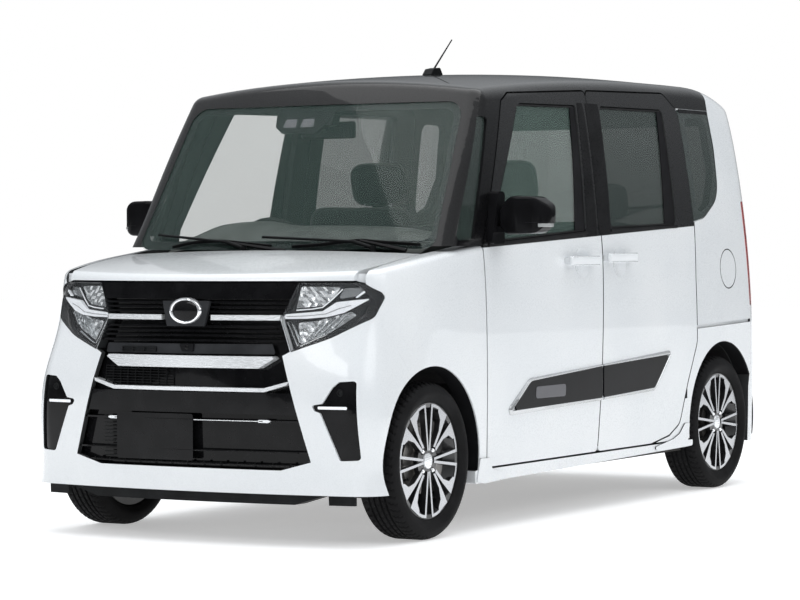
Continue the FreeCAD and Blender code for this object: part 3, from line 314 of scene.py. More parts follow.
def sweep(path, profile, upright=(0.0, 0.0, 1.0), size=None):
    """A closed profile carried along a path: path + a * side + b * up, where side lies square to the
    path and to upright; size scales the profile along the path."""
    path = np.asarray(path, float)
    ahead = np.gradient(path, axis=0)
    ahead /= np.linalg.norm(ahead, axis=1)[:, None]
    side = np.cross(ahead, upright)
    side /= np.linalg.norm(side, axis=1)[:, None]
    up = np.cross(side, ahead)
    size = np.ones(len(path)) if size is None else size
    spread = profile[None] * size[:, None, None]
    return capped(path[:, None] + spread[..., :1] * side[:, None] + spread[..., 1:] * up[:, None])


def distance_along(points):
    """How far along an open line each of its points lies."""
    return np.concatenate([[0], np.cumsum(np.linalg.norm(np.diff(points, axis=0), axis=1))])


def points_along(points, at):
    """The places on an open line at those distances."""
    far = distance_along(points)
    return np.stack([np.interp(at, far, points[:, i]) for i in range(2)], 1)


def circle(radius, count=12):
    turn = np.arange(count) * 2 * math.pi / count
    return np.stack([np.cos(turn), np.sin(turn)], 1) * radius


def oblong(wide, high, corner=1.0):
    """A rounded rectangle about the origin, as a profile."""
    w, h = wide / 2, high / 2
    return rounded([(-w, -h), (w, -h), (w, h), (-w, h)], corner, corner)


def panel(name, outline, radius, place, depths, step, material, both=True, **how):
    """A piece that is one plate: the rounded outline between two depths, on one side or both."""
    part = plate(rounded(outline, radius), place, *depths, step)
    return make_piece(name, both_sides(part) if both else part, material, **how)


def nose_bar(start, end, count, depth, profile):
    """A bar along the front face between two (y, z) places."""
    return sweep(on_nose(np.linspace(start, end, count), depth), profile, upright=(1, 0, 0))


def smooth_path(corners, count=24):
    """A curve through the corners: Catmull-Rom cubics between them."""
    p = np.asarray(corners, float)
    p = np.concatenate([2 * p[:1] - p[1:2], p, 2 * p[-1:] - p[-2:-1]])
    t = np.linspace(0, len(p) - 3 - 1e-9, count)
    i = t.astype(int)
    u = (t - i)[:, None]
    a, b, c, d = p[i], p[i + 1], p[i + 2], p[i + 3]
    return 0.5 * (2 * b + (c - a) * u + (2 * a - 5 * b + 4 * c - d) * u ** 2
                  + (3 * b - a - 3 * c + d) * u ** 3)


def turned(profile, centre, count=64, axis=1):
    """A (radius, along) profile turned round an axis through centre: radius * (cos, sin)."""
    profile = np.asarray(profile, float)
    turn = np.arange(count) * 2 * math.pi / count
    flat = [i for i in range(3) if i != axis]
    points = np.empty((count, len(profile), 3))
    points[..., flat[0]] = centre[flat[0]] + profile[:, 0] * np.cos(turn)[:, None]
    points[..., flat[1]] = centre[flat[1]] + profile[:, 0] * np.sin(turn)[:, None]
    points[..., axis] = centre[axis] + profile[:, 1]
    return points.reshape(-1, 3), grid_faces(count, len(profile), True, False)


def block(x0, x1, y0, y1, z0, z1):
    """A box between two corners, for small parts that a bevel finishes."""
    points = np.array([(x, y, z) for x in (x0, x1) for y in (y0, y1) for z in (z0, z1)], float)
    faces = [[0, 1, 3, 2], [4, 6, 7, 5], [0, 4, 5, 1], [2, 3, 7, 6], [0, 2, 6, 4], [1, 5, 7, 3]]
    return points, faces


PAD_ROWS, PAD_COLUMNS = 41, 96
PAD_EDGE, PAD_CROWN, PAD_FULLNESS = 0.62, 0.10, 0.92
SIDE_PULL, END_PULL = 0.045, 0.035
BOLSTER_START, BOLSTER_END = 0.30, 0.44
CHANNEL_DEPTH, CHANNEL_WIDTH, CHANNEL_ABOVE = 7, 7, 0.15
PIPING_RISE, PIPING_WIDTH = 2.5, 5


def cushion(wide, deep, thick, boxy=0.35, channels=(), bolster=0.0, square=0.30):
    """A crowned closed pad about the origin, x deep, y wide, z thick: a superellipsoid whose sides
    pull in between its corners, with sewn channels along x and a piped seam round the edge."""
    tilt = np.linspace(-math.pi / 2, math.pi / 2, PAD_ROWS)[:, None]
    turn = np.arange(PAD_COLUMNS)[None] * 2 * math.pi / PAD_COLUMNS

    def power(value, exponent):
        return np.sign(value) * np.abs(value) ** exponent
    ring = power(np.cos(tilt), boxy)
    x = ring * power(np.cos(turn), square)
    y = ring * power(np.sin(turn), square)
    z = power(np.sin(tilt), PAD_EDGE) * np.ones_like(turn)
    pull_x, pull_y = 1 - SIDE_PULL * (1 - y * y), 1 - END_PULL * (1 - x * x)
    x, y = x * pull_x * deep / 2, y * pull_y * wide / 2
    crown = 1 + PAD_CROWN * (1 - (2 * x / deep) ** 2) * (1 - (2 * y / wide) ** 2)
    z = z * crown * thick / 2 * PAD_FULLNESS
    if bolster:
        z = z + bolster * smooth_step(np.abs(y), wide * BOLSTER_START, wide * BOLSTER_END) * (z > 0)
    for place in channels:
        z = z - CHANNEL_DEPTH * np.exp(-((y - place) / CHANNEL_WIDTH) ** 2) * (z > thick * CHANNEL_ABOVE)
    seam = np.exp(-(z / PIPING_WIDTH) ** 2) * PIPING_RISE
    far = np.maximum(np.hypot(x, y), 1)
    x, y = x + seam * x / far, y + seam * y / far
    points = np.stack([x, y, z], -1).reshape(-1, 3)
    return points, grid_faces(PAD_ROWS, PAD_COLUMNS, False, True)


def moved(part, shift, lean=0.0, flip=(1, 1, 1)):
    """The form leaned back about the cross axis by degrees, flipped, then shifted."""
    points, faces = part
    a = math.radians(lean)
    turn = np.array([[math.cos(a), 0, math.sin(a)], [0, 1, 0], [-math.sin(a), 0, math.cos(a)]])
    return points @ turn.T * flip + np.asarray(shift, float), faces


# Shader groups: effects that more than one material uses

LINE_BLUR = 0.0008


def feed(tree, socket, value):
    """Sets a socket to a number or colour, or links another socket into it."""
    if isinstance(value, (tuple, list)):
        socket.default_value = (*value, 1)
    elif isinstance(value, (int, float)):
        socket.default_value = value
    else:
        tree.links.new(value, socket)


def wire(tree, node, **values):
    """Feeds a node's inputs by name: base_color stands for Base Color."""
    for label, value in values.items():
        feed(tree, node.inputs[label.replace("_", " ").title()], value)


def fed_node(tree, kind, values, **settings):
    """A node with its settings made and its first inputs fed in order."""
    node = tree.nodes.new("ShaderNode" + kind)
    for label, value in settings.items():
        setattr(node, label, value)
    for socket, value in zip(node.inputs, values):
        feed(tree, socket, value)
    return node


def math_node(tree, operation, *values):
    """A Math node on sockets or numbers."""
    return fed_node(tree, "Math", values, operation=operation).outputs[0]


def object_axes(tree):
    """The X, Y and Z of Object coordinates, as sockets."""
    place, split = tree.nodes.new("ShaderNodeTexCoord"), tree.nodes.new("ShaderNodeSeparateXYZ")
    tree.links.new(place.outputs["Object"], split.inputs[0])
    return split.outputs


def noise_node(tree, scale, detail=3.0, stretch=None):
    """Noise on Object coordinates; scale is a socket or a number."""
    vector = tree.nodes.new("ShaderNodeTexCoord").outputs["Object"]
    if stretch:
        mapping = tree.nodes.new("ShaderNodeMapping")
        mapping.inputs["Scale"].default_value = stretch
        tree.links.new(vector, mapping.inputs["Vector"])
        vector = mapping.outputs["Vector"]
    noise = tree.nodes.new("ShaderNodeTexNoise")
    wire(tree, noise, scale=scale, detail=detail, vector=vector)
    return noise.outputs["Fac"]


def mix_colour(tree, factor, first, second):
    """A Mix node for colours; each value is a socket or a colour."""
    node = tree.nodes.new("ShaderNodeMix")
    node.data_type = "RGBA"
    for place, value in ((0, factor), (6, first), (7, second)):
        feed(tree, node.inputs[place], value)
    return node.outputs[2]


def remap(tree, *values):
    """A Map Range node: the value, its two limits and what they become."""
    return fed_node(tree, "MapRange", values).outputs[0]


def build_cloud(tree, given):
    """Colour that drifts between two tones: noise with softened contrast."""
    value = remap(tree, noise_node(tree, given["Scale"]), 0.35, 0.65, 0.0, 1.0)
    return {"Color": mix_colour(tree, value, given["Tone"], given["Second Tone"])}


def build_grain(tree, given):
    """Fine surface grain: one noise gives both the roughness, between two limits, and the height."""
    value = noise_node(tree, given["Scale"], 4.0)
    return {"Roughness": remap(tree, value, 0.25, 0.75, given["Low"], given["High"]), "Height": value}


def build_inward(tree, given):
    """1 on faces that look towards the cabin's centre, 0 on those that look away."""
    place = tree.nodes.new("ShaderNodeTexCoord")
    off, dot = (tree.nodes.new("ShaderNodeVectorMath") for _ in range(2))
    off.operation, dot.operation = "SUBTRACT", "DOT_PRODUCT"
    off.inputs[1].default_value = (0.0, 0.0, 0.95)
    tree.links.new(place.outputs["Object"], off.inputs[0])
    tree.links.new(off.outputs[0], dot.inputs[0])
    tree.links.new(place.outputs["Normal"], dot.inputs[1])
    return {"Mask": math_node(tree, "LESS_THAN", dot.outputs["Value"], 0.0)}


def build_above(tree, given):
    """1 above a straight line in side view: height > level + slope * x."""
    axes = object_axes(tree)
    line = math_node(tree, "MULTIPLY_ADD", axes["X"], given["Slope"], given["Level"])
    over = math_node(tree, "SUBTRACT", axes["Z"], line)
    return {"Mask": remap(tree, over, -LINE_BLUR, LINE_BLUR, 0.0, 1.0)}


def build_dust(tree, given):
    """Road dust: a warm film that is thickest near the ground and broken up by noise."""
    low = remap(tree, object_axes(tree)["Z"], 0.0, given["Reach"], 1.0, 0.0)
    patchy = math_node(tree, "MULTIPLY", low, noise_node(tree, 30.0, 5.0))
    amount = math_node(tree, "MULTIPLY", patchy, given["Amount"])
    return {"Color": mix_colour(tree, amount, given["Color"], (0.16, 0.145, 0.125))}


def build_brushed(tree, given):
    """Fine streaks across the surface: noise squeezed along one axis."""
    value = noise_node(tree, 1.0, 3.0, (25, 25, 500))
    dark = mix_colour(tree, 0.05, given["Tone"], (0.05, 0.05, 0.05))
    return {"Color": mix_colour(tree, value, dark, given["Tone"]), "Height": value,
            "Roughness": remap(tree, value, 0.25, 0.75, given["Low"], given["High"])}


def build_weave(tree, given):
    """Plain weave: the product of two crossed waves."""
    vector = tree.nodes.new("ShaderNodeTexCoord").outputs["Object"]
    waves = []
    for direction in ("Y", "Z"):
        wave = tree.nodes.new("ShaderNodeTexWave")
        wave.bands_direction = direction
        wire(tree, wave, distortion=0.8, vector=vector, scale=given["Scale"])
        waves.append(wave.outputs["Fac"])
    value = math_node(tree, "MULTIPLY", *waves)
    return {"Color": mix_colour(tree, value, given["Tone"], given["Second Tone"]), "Height": value}


def make_group(name, inputs, build):
    """A shader group: its named inputs, and the outputs that build makes from them."""
    tree = bpy.data.node_groups.new(name, "ShaderNodeTree")

    def add_socket(label, in_out):
        kind = "Color" if label in ("Color", "Tone", "Second Tone") else "Float"
        tree.interface.new_socket(label, in_out=in_out, socket_type="NodeSocket" + kind)
    for label in inputs:
        add_socket(label, "INPUT")
    made = build(tree, tree.nodes.new("NodeGroupInput").outputs)
    for label in made:
        add_socket(label, "OUTPUT")
    wire(tree, tree.nodes.new("NodeGroupOutput"), **made)
    return tree


GROUPS = {name: make_group(name, inputs, build) for name, inputs, build in (
    ("cloud", ("Scale", "Tone", "Second Tone"), build_cloud),
    ("grain", ("Scale", "Low", "High"), build_grain),
    ("inward", (), build_inward),
    ("above_line", ("Level", "Slope"), build_above),
    ("road_dust", ("Color", "Amount", "Reach"), build_dust),
    ("brushed", ("Tone", "Low", "High"), build_brushed),
    ("weave", ("Scale", "Tone", "Second Tone"), build_weave))}


def use_group(tree, name, **values):
    """A group node with its inputs set from sockets or plain values."""
    node = tree.nodes.new("ShaderNodeGroup")
    node.node_tree = GROUPS[name]
    wire(tree, node, **values)
    return node.outputs


def drift(tree, scale, tone, second):
    """The colour of the cloud group between two tones."""
    return use_group(tree, "cloud", scale=scale, tone=tone, second_tone=second)["Color"]


# Materials

def new_material(name, **settings):
    """A material with plain values set on the shader's own sockets."""
    material = bpy.data.materials.new(name)
    material.use_nodes = True
    shader = material.node_tree.nodes["Principled BSDF"]
    for label, value in settings.items():
        shader.inputs[label.replace("_", " ")].default_value = value
    return material, material.node_tree, shader


def bumped(tree, height, strength, distance=0.0003):
    """The normal that a height gives."""
    node = tree.nodes.new("ShaderNodeBump")
    wire(tree, node, strength=strength, distance=distance, height=height)
    return node.outputs["Normal"]


def finish_surface(tree, shader, color, scale, low, high, strength):
    """Links a colour, and grain as roughness and bump, into the shader."""
    grain = use_group(tree, "grain", scale=scale, low=low, high=high)
    wire(tree, shader, base_color=color, roughness=grain["Roughness"],
         normal=bumped(tree, grain["Height"], strength, 0.0004))


WHITE_TONES = (0.70, 0.725, 0.745), (0.745, 0.765, 0.78)
BLACK_TONES = (0.0035, 0.0035, 0.0040), (0.0055, 0.0055, 0.0060)
LINER_TONES = (0.030, 0.032, 0.033), (0.038, 0.040, 0.041)
LINER_ROUGHNESS = 0.75
MACHINED_FACE, MACHINED_BLUR = 0.7134, 0.0004


def body_finish(name, black=(), all_black=False):
    """Lacquered paint: pearl white, black above the given (level, slope) line, and grey trim on the
    faces inside the cabin, under one clear coat."""
    material, tree, shader = new_material(name, Coat_Weight=1.0, Coat_Roughness=0.02,
                                          Coat_IOR=1.26 if all_black or black else 1.36,
                                          Specular_IOR_Level=0.12 if all_black else 0.4)
    color = drift(tree, 2.5, *(BLACK_TONES if all_black else WHITE_TONES))
    if not all_black:
        color = use_group(tree, "road_dust", color=color, amount=0.12, reach=0.45)["Color"]
    if black:
        over = use_group(tree, "above_line", level=black[0], slope=black[1])["Mask"]
        color = mix_colour(tree, over, color, drift(tree, 2.5, *BLACK_TONES))
    inside = use_group(tree, "inward")["Mask"]
    grain = use_group(tree, "grain", scale=300.0, low=0.24, high=0.32)
    rough = tree.nodes.new("ShaderNodeMix")
    for place, value in ((0, inside), (2, grain["Roughness"]), (3, LINER_ROUGHNESS)):
        feed(tree, rough.inputs[place], value)
    wire(tree, shader, base_color=mix_colour(tree, inside, color, drift(tree, 9.0, *LINER_TONES)),
         roughness=rough.outputs[0], coat_weight=remap(tree, inside, 0.0, 1.0, 1.0, 0.0),
         normal=bumped(tree, grain["Height"], 0.015))
    return material


def moulded(name, tone, low, high, scale=900.0, strength=0.12, coat=0.0, dust=0.0):
    """Moulded plastic or rubber with a fine grain."""
    material, tree, shader = new_material(name, Coat_Weight=coat, Coat_Roughness=0.03, Coat_IOR=1.22,
                                          Specular_IOR_Level=0.08 if coat else 0.12)
    color = drift(tree, 12.0, tone, tuple(c * 1.4 + 0.002 for c in tone))
    if dust:
        color = use_group(tree, "road_dust", color=color, amount=dust, reach=0.6)["Color"]
    finish_surface(tree, shader, color, scale, low, high, strength)
    return material


def metal(name, tone, low, high, strength=0.02, plated=1.0):
    """Plated, machined or cast metal with faint streaks; a satin plating scatters part of the light."""
    material, tree, shader = new_material(name, Metallic=plated)
    streaks = use_group(tree, "brushed", tone=tone, low=low, high=high)
    wire(tree, shader, base_color=streaks["Color"], roughness=streaks["Roughness"],
         normal=bumped(tree, streaks["Height"], strength))
    return material


def glazing(name, tone, alpha):
    """Tinted glass: a see-through coloured film under a clear coat, with a faint haze."""
    material, tree, shader = new_material(name, Coat_Weight=1.0, Coat_Roughness=0.0, Alpha=alpha)
    haze = use_group(tree, "grain", scale=6.0, low=0.02, high=0.05)
    wire(tree, shader, base_color=drift(tree, 4.0, tone, tuple(c * 1.12 for c in tone)),
         roughness=haze["Roughness"])
    return material


def wheel_finish():
    """Black wheel paint, with bare machined metal on the spokes' and rim's outer faces:
    the mask is 1 where the distance across the car passes the machining plane."""
    material, tree, shader = new_material("wheel_two_tone", Coat_Weight=0.6, Coat_Roughness=0.05)
    across = math_node(tree, "ABSOLUTE", object_axes(tree)["Y"])
    face = remap(tree, across, MACHINED_FACE - MACHINED_BLUR, MACHINED_FACE, 0.0, 1.0)
    paint = drift(tree, 20.0, (0.010, 0.010, 0.011), (0.018, 0.018, 0.019))
    bare = use_group(tree, "brushed", tone=(0.50, 0.51, 0.53), low=0.20, high=0.34)
    wire(tree, shader, base_color=mix_colour(tree, face, paint, bare["Color"]), metallic=face,
         roughness=remap(tree, face, 0.0, 1.0, 0.28, 0.22), normal=bumped(tree, bare["Height"], 0.03))
    return material


def trim_finish():
    """Gloss black trim with the handles between two heights in body white."""
    material, tree, shader = new_material("side_trim", Coat_Weight=0.25, Coat_Roughness=0.03,
                                          Coat_IOR=1.22, Specular_IOR_Level=0.05)
    low, high = (use_group(tree, "above_line", level=level, slope=0.0)["Mask"] for level in (0.90, 1.03))
    black = drift(tree, 9.0, (0.005, 0.005, 0.0055), (0.008, 0.008, 0.009))
    color = mix_colour(tree, math_node(tree, "SUBTRACT", low, high), black, drift(tree, 2.5, *WHITE_TONES))
    finish_surface(tree, shader, color, 300.0, 0.10, 0.20, 0.01)
    return material


def cloth(name, tone, second):
    """Woven seat cloth."""
    material, tree, shader = new_material(name, Roughness=0.92, Sheen_Weight=0.2)
    threads = use_group(tree, "weave", scale=180.0, tone=tone, second_tone=second)
    fuzz = use_group(tree, "grain", scale=700.0, low=0.85, high=0.98)
    wire(tree, shader, base_color=threads["Color"], roughness=fuzz["Roughness"],
         normal=bumped(tree, threads["Height"], 0.5, 0.0008))
    return material


def glow(name, tone, strength):
    """A light guide: clear plastic with a frosted core."""
    material, tree, shader = new_material(name, Emission_Strength=strength)
    color = drift(tree, 60.0, tone, tuple(min(1, c * 1.1) for c in tone))
    wire(tree, shader, emission_color=color)
    finish_surface(tree, shader, color, 500.0, 0.1, 0.2, 0.05)
    return material


WHITE = body_finish("pearl_white")
FRAMED_WHITE = body_finish("pearl_white_black_frame", black=(1.0735, -0.044))
TAIL_WHITE = body_finish("pearl_white_black_spoiler", black=(1.640, 0.0))
BLACK = body_finish("roof_black", all_black=True)
GLOSS = moulded("piano_black", (0.0035, 0.0035, 0.0040), 0.06, 0.12, 250.0, 0.01, coat=0.8)
DARK_SATIN = moulded("dark_satin", (0.020, 0.021, 0.023), 0.30, 0.42, 500.0, 0.02)
FILM = moulded("pillar_film", (0.006, 0.006, 0.0065), 0.24, 0.34, 400.0, 0.03)
GRAINED = moulded("grained_black", (0.005, 0.0055, 0.0060), 0.48, 0.62)
DEEP = moulded("shadow_black", (0.004, 0.004, 0.005), 0.6, 0.8)
CABIN = moulded("cabin_grey", (0.022, 0.024, 0.025), 0.55, 0.70)
SEALING = moulded("door_seal", (0.005, 0.005, 0.0055), 0.55, 0.7)
CHROME = metal("chrome", (0.92, 0.93, 0.95), 0.05, 0.10, plated=0.80, strength=0.004)
SATIN = metal("satin_chrome", (0.88, 0.90, 0.92), 0.22, 0.32, plated=0.45, strength=0.004)
TRIM_CHROME = metal("trim_chrome", (0.58, 0.59, 0.60), 0.14, 0.22, plated=0.75, strength=0.004)
PLAQUE = metal("plaque_grey", (0.13, 0.13, 0.14), 0.30, 0.42, plated=0.5)
REFLECTOR = metal("lamp_reflector", (0.62, 0.64, 0.65), 0.14, 0.22, plated=0.85)
CLEAR = glazing("clear_glass", (0.075, 0.135, 0.115), 0.12)
SIDE_GLASS = glazing("side_glass", (0.17, 0.25, 0.22), 0.20)
DARK = glazing("privacy_glass", (0.040, 0.055, 0.050), 0.62)
LENS = glazing("lamp_lens", (0.22, 0.23, 0.24), 0.07)
RED_LENS = glazing("red_lens", (0.42, 0.008, 0.010), 0.80)
WHEEL = wheel_finish()
RUBBER = moulded("tyre_rubber", (0.0050, 0.0050, 0.0055), 0.60, 0.78, 1400.0, 0.22, dust=0.012)
LAMP_GREY = moulded("lamp_grey", (0.030, 0.032, 0.033), 0.20, 0.30, 300.0, 0.02, coat=0.3)
CHASSIS = moulded("underseal", (0.014, 0.014, 0.015), 0.65, 0.85, 160.0, 0.5, dust=0.5)
IRON = metal("brake_iron", (0.34, 0.33, 0.32), 0.35, 0.55, 0.1)
STEEL = metal("exhaust_steel", (0.42, 0.40, 0.37), 0.30, 0.45, 0.08)
CAST = metal("cast_alloy", (0.34, 0.34, 0.34), 0.5, 0.7, 0.3)
CLOTH = cloth("seat_cloth", (0.010, 0.010, 0.011), (0.030, 0.031, 0.033))
LEATHER = moulded("rim_leather", (0.016, 0.015, 0.015), 0.42, 0.55, 700.0, 0.35)
DASH_TOP = moulded("dash_top", (0.075, 0.080, 0.076), 0.6, 0.75)
MIRROR_GLASS = metal("mirror_glass", (0.80, 0.82, 0.84), 0.02, 0.04)
GUIDE = glow("light_guide", (0.80, 0.82, 0.85), 0.10)
TURN_LENS = glazing("turn_lens", (0.34, 0.35, 0.35), 0.75)
TRIM = trim_finish()

SLOT_OF = {material.name: slot for slot, materials in {
    "gloss_black": (GLOSS, LAMP_GREY), "lamp_lens": (LENS, GUIDE, TURN_LENS), "tail_lens": (RED_LENS,),
    "chrome": (CHROME, SATIN, TRIM_CHROME, PLAQUE, REFLECTOR, MIRROR_GLASS), "body_paint": (WHITE,),
    "tyre": (RUBBER,), "seat_cloth": (CLOTH,), "cabin_plastic": (CABIN, DASH_TOP),
}.items() for material in materials}
FINISH = {
    "body_paint": WHITE, "roof_paint": BLACK, "gloss_black": GLOSS, "grained_black": GRAINED,
    "chrome": CHROME, "clear_glass": CLEAR, "dark_glass": DARK, "lamp_lens": LENS,
    "tail_lens": RED_LENS, "alloy": WHEEL, "tyre": RUBBER, "chassis": CHASSIS, "brake_iron": IRON,
    "exhaust_steel": STEEL, "engine_alloy": CAST, "seat_cloth": CLOTH, "cabin_plastic": CABIN,
    "wheel_leather": LEATHER,
}
OWN_FINISH = {"grille_bars": SATIN, "tailgate": TAIL_WHITE, "sliding_door_trim": TRIM}
for side_name in SIDES:
    OWN_FINISH.update({f"front_door_glass_{side_name}": SIDE_GLASS, f"front_door_{side_name}": FRAMED_WHITE,
                       f"sliding_door_{side_name}": FRAMED_WHITE, f"front_door_trim_{side_name}": TRIM})


def build_smoothing():
    """Joins a CAD mesh's loose triangles and shades it smooth, but for sharp edges."""
    tree = bpy.data.node_groups.new("smooth_by_crease", "GeometryNodeTree")
    tree.interface.new_socket("Geometry", in_out="INPUT", socket_type="NodeSocketGeometry")
    tree.interface.new_socket("Geometry", in_out="OUTPUT", socket_type="NodeSocketGeometry")
    first, last = tree.nodes.new("NodeGroupInput"), tree.nodes.new("NodeGroupOutput")
    merge = tree.nodes.new("GeometryNodeMergeByDistance")
    merge.inputs["Distance"].default_value = 2 * MERGE_METRES
    angle = tree.nodes.new("GeometryNodeInputMeshEdgeAngle")
    below = tree.nodes.new("FunctionNodeCompare")
    below.operation = "LESS_THAN"
    below.inputs["B"].default_value = math.radians(CREASE_ANGLE)
    faces, edges = (tree.nodes.new("GeometryNodeSetShadeSmooth") for _ in range(2))
    faces.domain, edges.domain = "FACE", "EDGE"
    tree.links.new(first.outputs[0], merge.inputs["Geometry"])
    tree.links.new(merge.outputs["Geometry"], faces.inputs["Geometry"])
    tree.links.new(faces.outputs["Geometry"], edges.inputs["Geometry"])
    tree.links.new(angle.outputs["Unsigned Angle"], below.inputs["A"])
    tree.links.new(below.outputs["Result"], edges.inputs["Shade Smooth"])
    tree.links.new(edges.outputs["Geometry"], last.inputs[0])
    return tree


SMOOTHING = build_smoothing()
slots = {entry["node"]: entry["material_slot"] for entry in frame["record"]["subparts"]}
for name, node in frame["nodes"].items():
    node.data.materials.clear()
    node.data.materials.append(OWN_FINISH.get(name, FINISH[slots[name]]))
    node.modifiers.new("smooth", "NODES").node_group = SMOOTHING


# Front lamps, as (y, z) outlines on the left

LAMP = [(427, 922), (640, 922, 60), (702, 880, 30), (680, 797, 30), (553, 727, 300), (418, 679),
        (371, 792, 30)]
UPPER_REFLECTOR = [(438, 907), (572, 906), (546, 866), (516, 840), (424, 831)]
LOWER_REFLECTOR = [(434, 780), (506, 789), (610, 819), (629, 807), (552, 749), (451, 706)]
TURN_MIRROR = [(581, 901), (633, 903), (650, 892), (628, 875), (563, 863)]
LIGHT_GUIDE = [(384, 811), (460, 817), (514, 822), (558, 853), (609, 859), (668, 865, 2),
               (624, 838), (586, 816), (533, 802), (462, 796), (384, 795)]
GUIDE_PRONG = [(616, 868), (652, 899), (658, 894), (626, 868)]
THIN_GUIDE = [(424, 825), (477, 829), (513, 835), (541, 860), (576, 898)]
GUIDE_GROOVE = [(392, 803), (462, 806), (524, 812), (566, 830), (606, 842)]
FINS = (((399, 783), (444, 700)), ((417, 777), (450, 712)), ((470, 722), (520, 786)),
        ((497, 733), (545, 792)), ((527, 748), (572, 800)), ((560, 764), (598, 808)))
LOW_FIN = (450, 699), (540, 741)
LAMP_INWARD = np.array([-0.87, -0.49, 0.0])
BEZEL_STEPS = ((0, 5), (0.1, 4.4), (0.5, 6), (0.85, 11), (1.0, 20), (1.0, 34))
lamp_skin, bezel_skin = lie_on(0, 1, "headlamps"), lie_on(0, 1, "fog_bezels")


def in_lamp(points, depth):
    """(y, z) pairs on the lamp's outer face, moved back and towards the middle by depth."""
    return lamp_skin(points, 0.0) + depth * LAMP_INWARD


def facets(outline, depth, cell, height):
    """A reflector field: the filled outline with every other grid corner pushed forward, a dish of
    small flat facets."""
    flat, faces = filled(with_steps(outline, cell), cell)
    wave = np.sin(flat[:, 0] * 2.1 / cell) * np.cos(flat[:, 1] * 2.6 / cell + flat[:, 0] / cell)
    front = in_lamp(flat, depth) + np.stack([wave * height, 0 * wave, 0 * wave], 1)
    return closed_panel(front, in_lamp(flat, depth + height + 4), faces)


def shrunk(outline, amount):
    """The outline with each point moved inwards along its corner's bisector."""
    before, after = np.roll(outline, 1, 0) - outline, np.roll(outline, -1, 0) - outline
    run = after - before
    normal = np.stack([-run[:, 1], run[:, 0]], 1)
    normal /= np.maximum(np.linalg.norm(normal, axis=1), 1e-9)[:, None]
    x, y = outline.T
    turn = np.sign((x * np.roll(y, -1) - np.roll(x, -1) * y).sum())
    return outline + normal * np.reshape(amount, (-1, 1)) * turn


def lamp_rings(outline, steps):
    """A band inside the lamp: the outline moved in by inset, at a depth, for each (inset, depth)."""
    rings = [in_lamp(shrunk(outline, inset), depth) for inset, depth in steps]
    return np.asarray(rings).reshape(-1, 3), grid_faces(len(steps), len(outline), False, True)


lamp_outline = with_steps(rounded(LAMP, 4, 6), 8)
make_piece("headlamp_lens", both_sides(plate(shrunk(lamp_outline, 0.8), lamp_skin, 0.0, 3.0, 14.0)),
           LENS, replaces=("headlamps",))
housing = plate(shrunk(lamp_outline, 3.0), in_lamp, 50.0, 56.0, 16.0)
rim_wall = lamp_rings(shrunk(lamp_outline, 1.5), [(4 * a, 4 + 48 * a) for a in np.linspace(0, 1, 4)])
make_piece("headlamp_housing", both_sides(joined_parts(housing, rim_wall)), LAMP_GREY)
bezel_width = 4 + 30 * smooth_step(lamp_outline[:, 0], 590, 690)
bezel = lamp_rings(lamp_outline, [(1.2 + bezel_width * a, depth) for a, depth in BEZEL_STEPS])
make_piece("headlamp_bezel", both_sides(bezel), GLOSS)
fields = joined_parts(facets(rounded(UPPER_REFLECTOR, 4), 26.0, 11.0, 2.4),
                      facets(rounded(LOWER_REFLECTOR, 4), 28.0, 12.0, 3.0))
make_piece("headlamp_reflectors", both_sides(fields), REFLECTOR, crease=5.0)
panel("headlamp_turn_mirror", TURN_MIRROR, 6, in_lamp, (22.0, 26.0), 10.0, REFLECTOR)
guides = joined_parts(plate(rounded(LIGHT_GUIDE, 10, 5), in_lamp, 9.0, 20.0, 10.0),
                      plate(rounded(GUIDE_PRONG, 2), in_lamp, 10.0, 18.0, 8.0),
                      sweep(in_lamp(np.array(THIN_GUIDE, float), 16.0), circle(2.2, 8)))
make_piece("headlamp_light_guide", both_sides(guides), GUIDE, bevel=1.5)
groove = sweep(in_lamp(np.array(GUIDE_GROOVE, float), 8.2), oblong(1.4, 2.0, 0.4), upright=(1, 0, 0))
make_piece("headlamp_guide_line", both_sides(groove), LAMP_GREY)
fins = [sweep(in_lamp(np.linspace(*ends, 8), 20.0), oblong(3.4, 14.0, 1.2), upright=(1, 0, 0))
        for ends in FINS]
fins.append(sweep(in_lamp(np.linspace(*LOW_FIN, 8), 18.0), oblong(3.0, 12, 1.2), upright=(1, 0, 0)))
make_piece("headlamp_fins", both_sides(joined_parts(*fins)), REFLECTOR)

# Fog bezels: the lit bar, the parking sensor and its ring

LIGHT_BAR = [(532, 484), (640, 484), (640, 494), (532, 494)]
SENSOR_Y, SENSOR_Z = 610.0, 541.0
SENSOR_RING = [(8.5, -4), (8.5, 1.6), (10.5, 2.4), (12.5, 1.6), (13, -4)]
SENSOR_EYE = [(0, 1.0), (7.8, 0.6), (8, -4), (0, -4)]

panel("position_light_bar", LIGHT_BAR, 3, bezel_skin, (-3.0, 3.0), 12.0, GUIDE, bevel=1.0)
sensor_place = bezel_skin(np.array([[SENSOR_Y, SENSOR_Z]]), 0.0)[0]
sensor = joined_parts(*[turned(profile, sensor_place, 32, 0) for profile in (SENSOR_RING, SENSOR_EYE)])
make_piece("parking_sensors", both_sides(sensor), GRAINED)

# Grille: mesh behind the slats, thin lines below, and the bare round seat of the badge

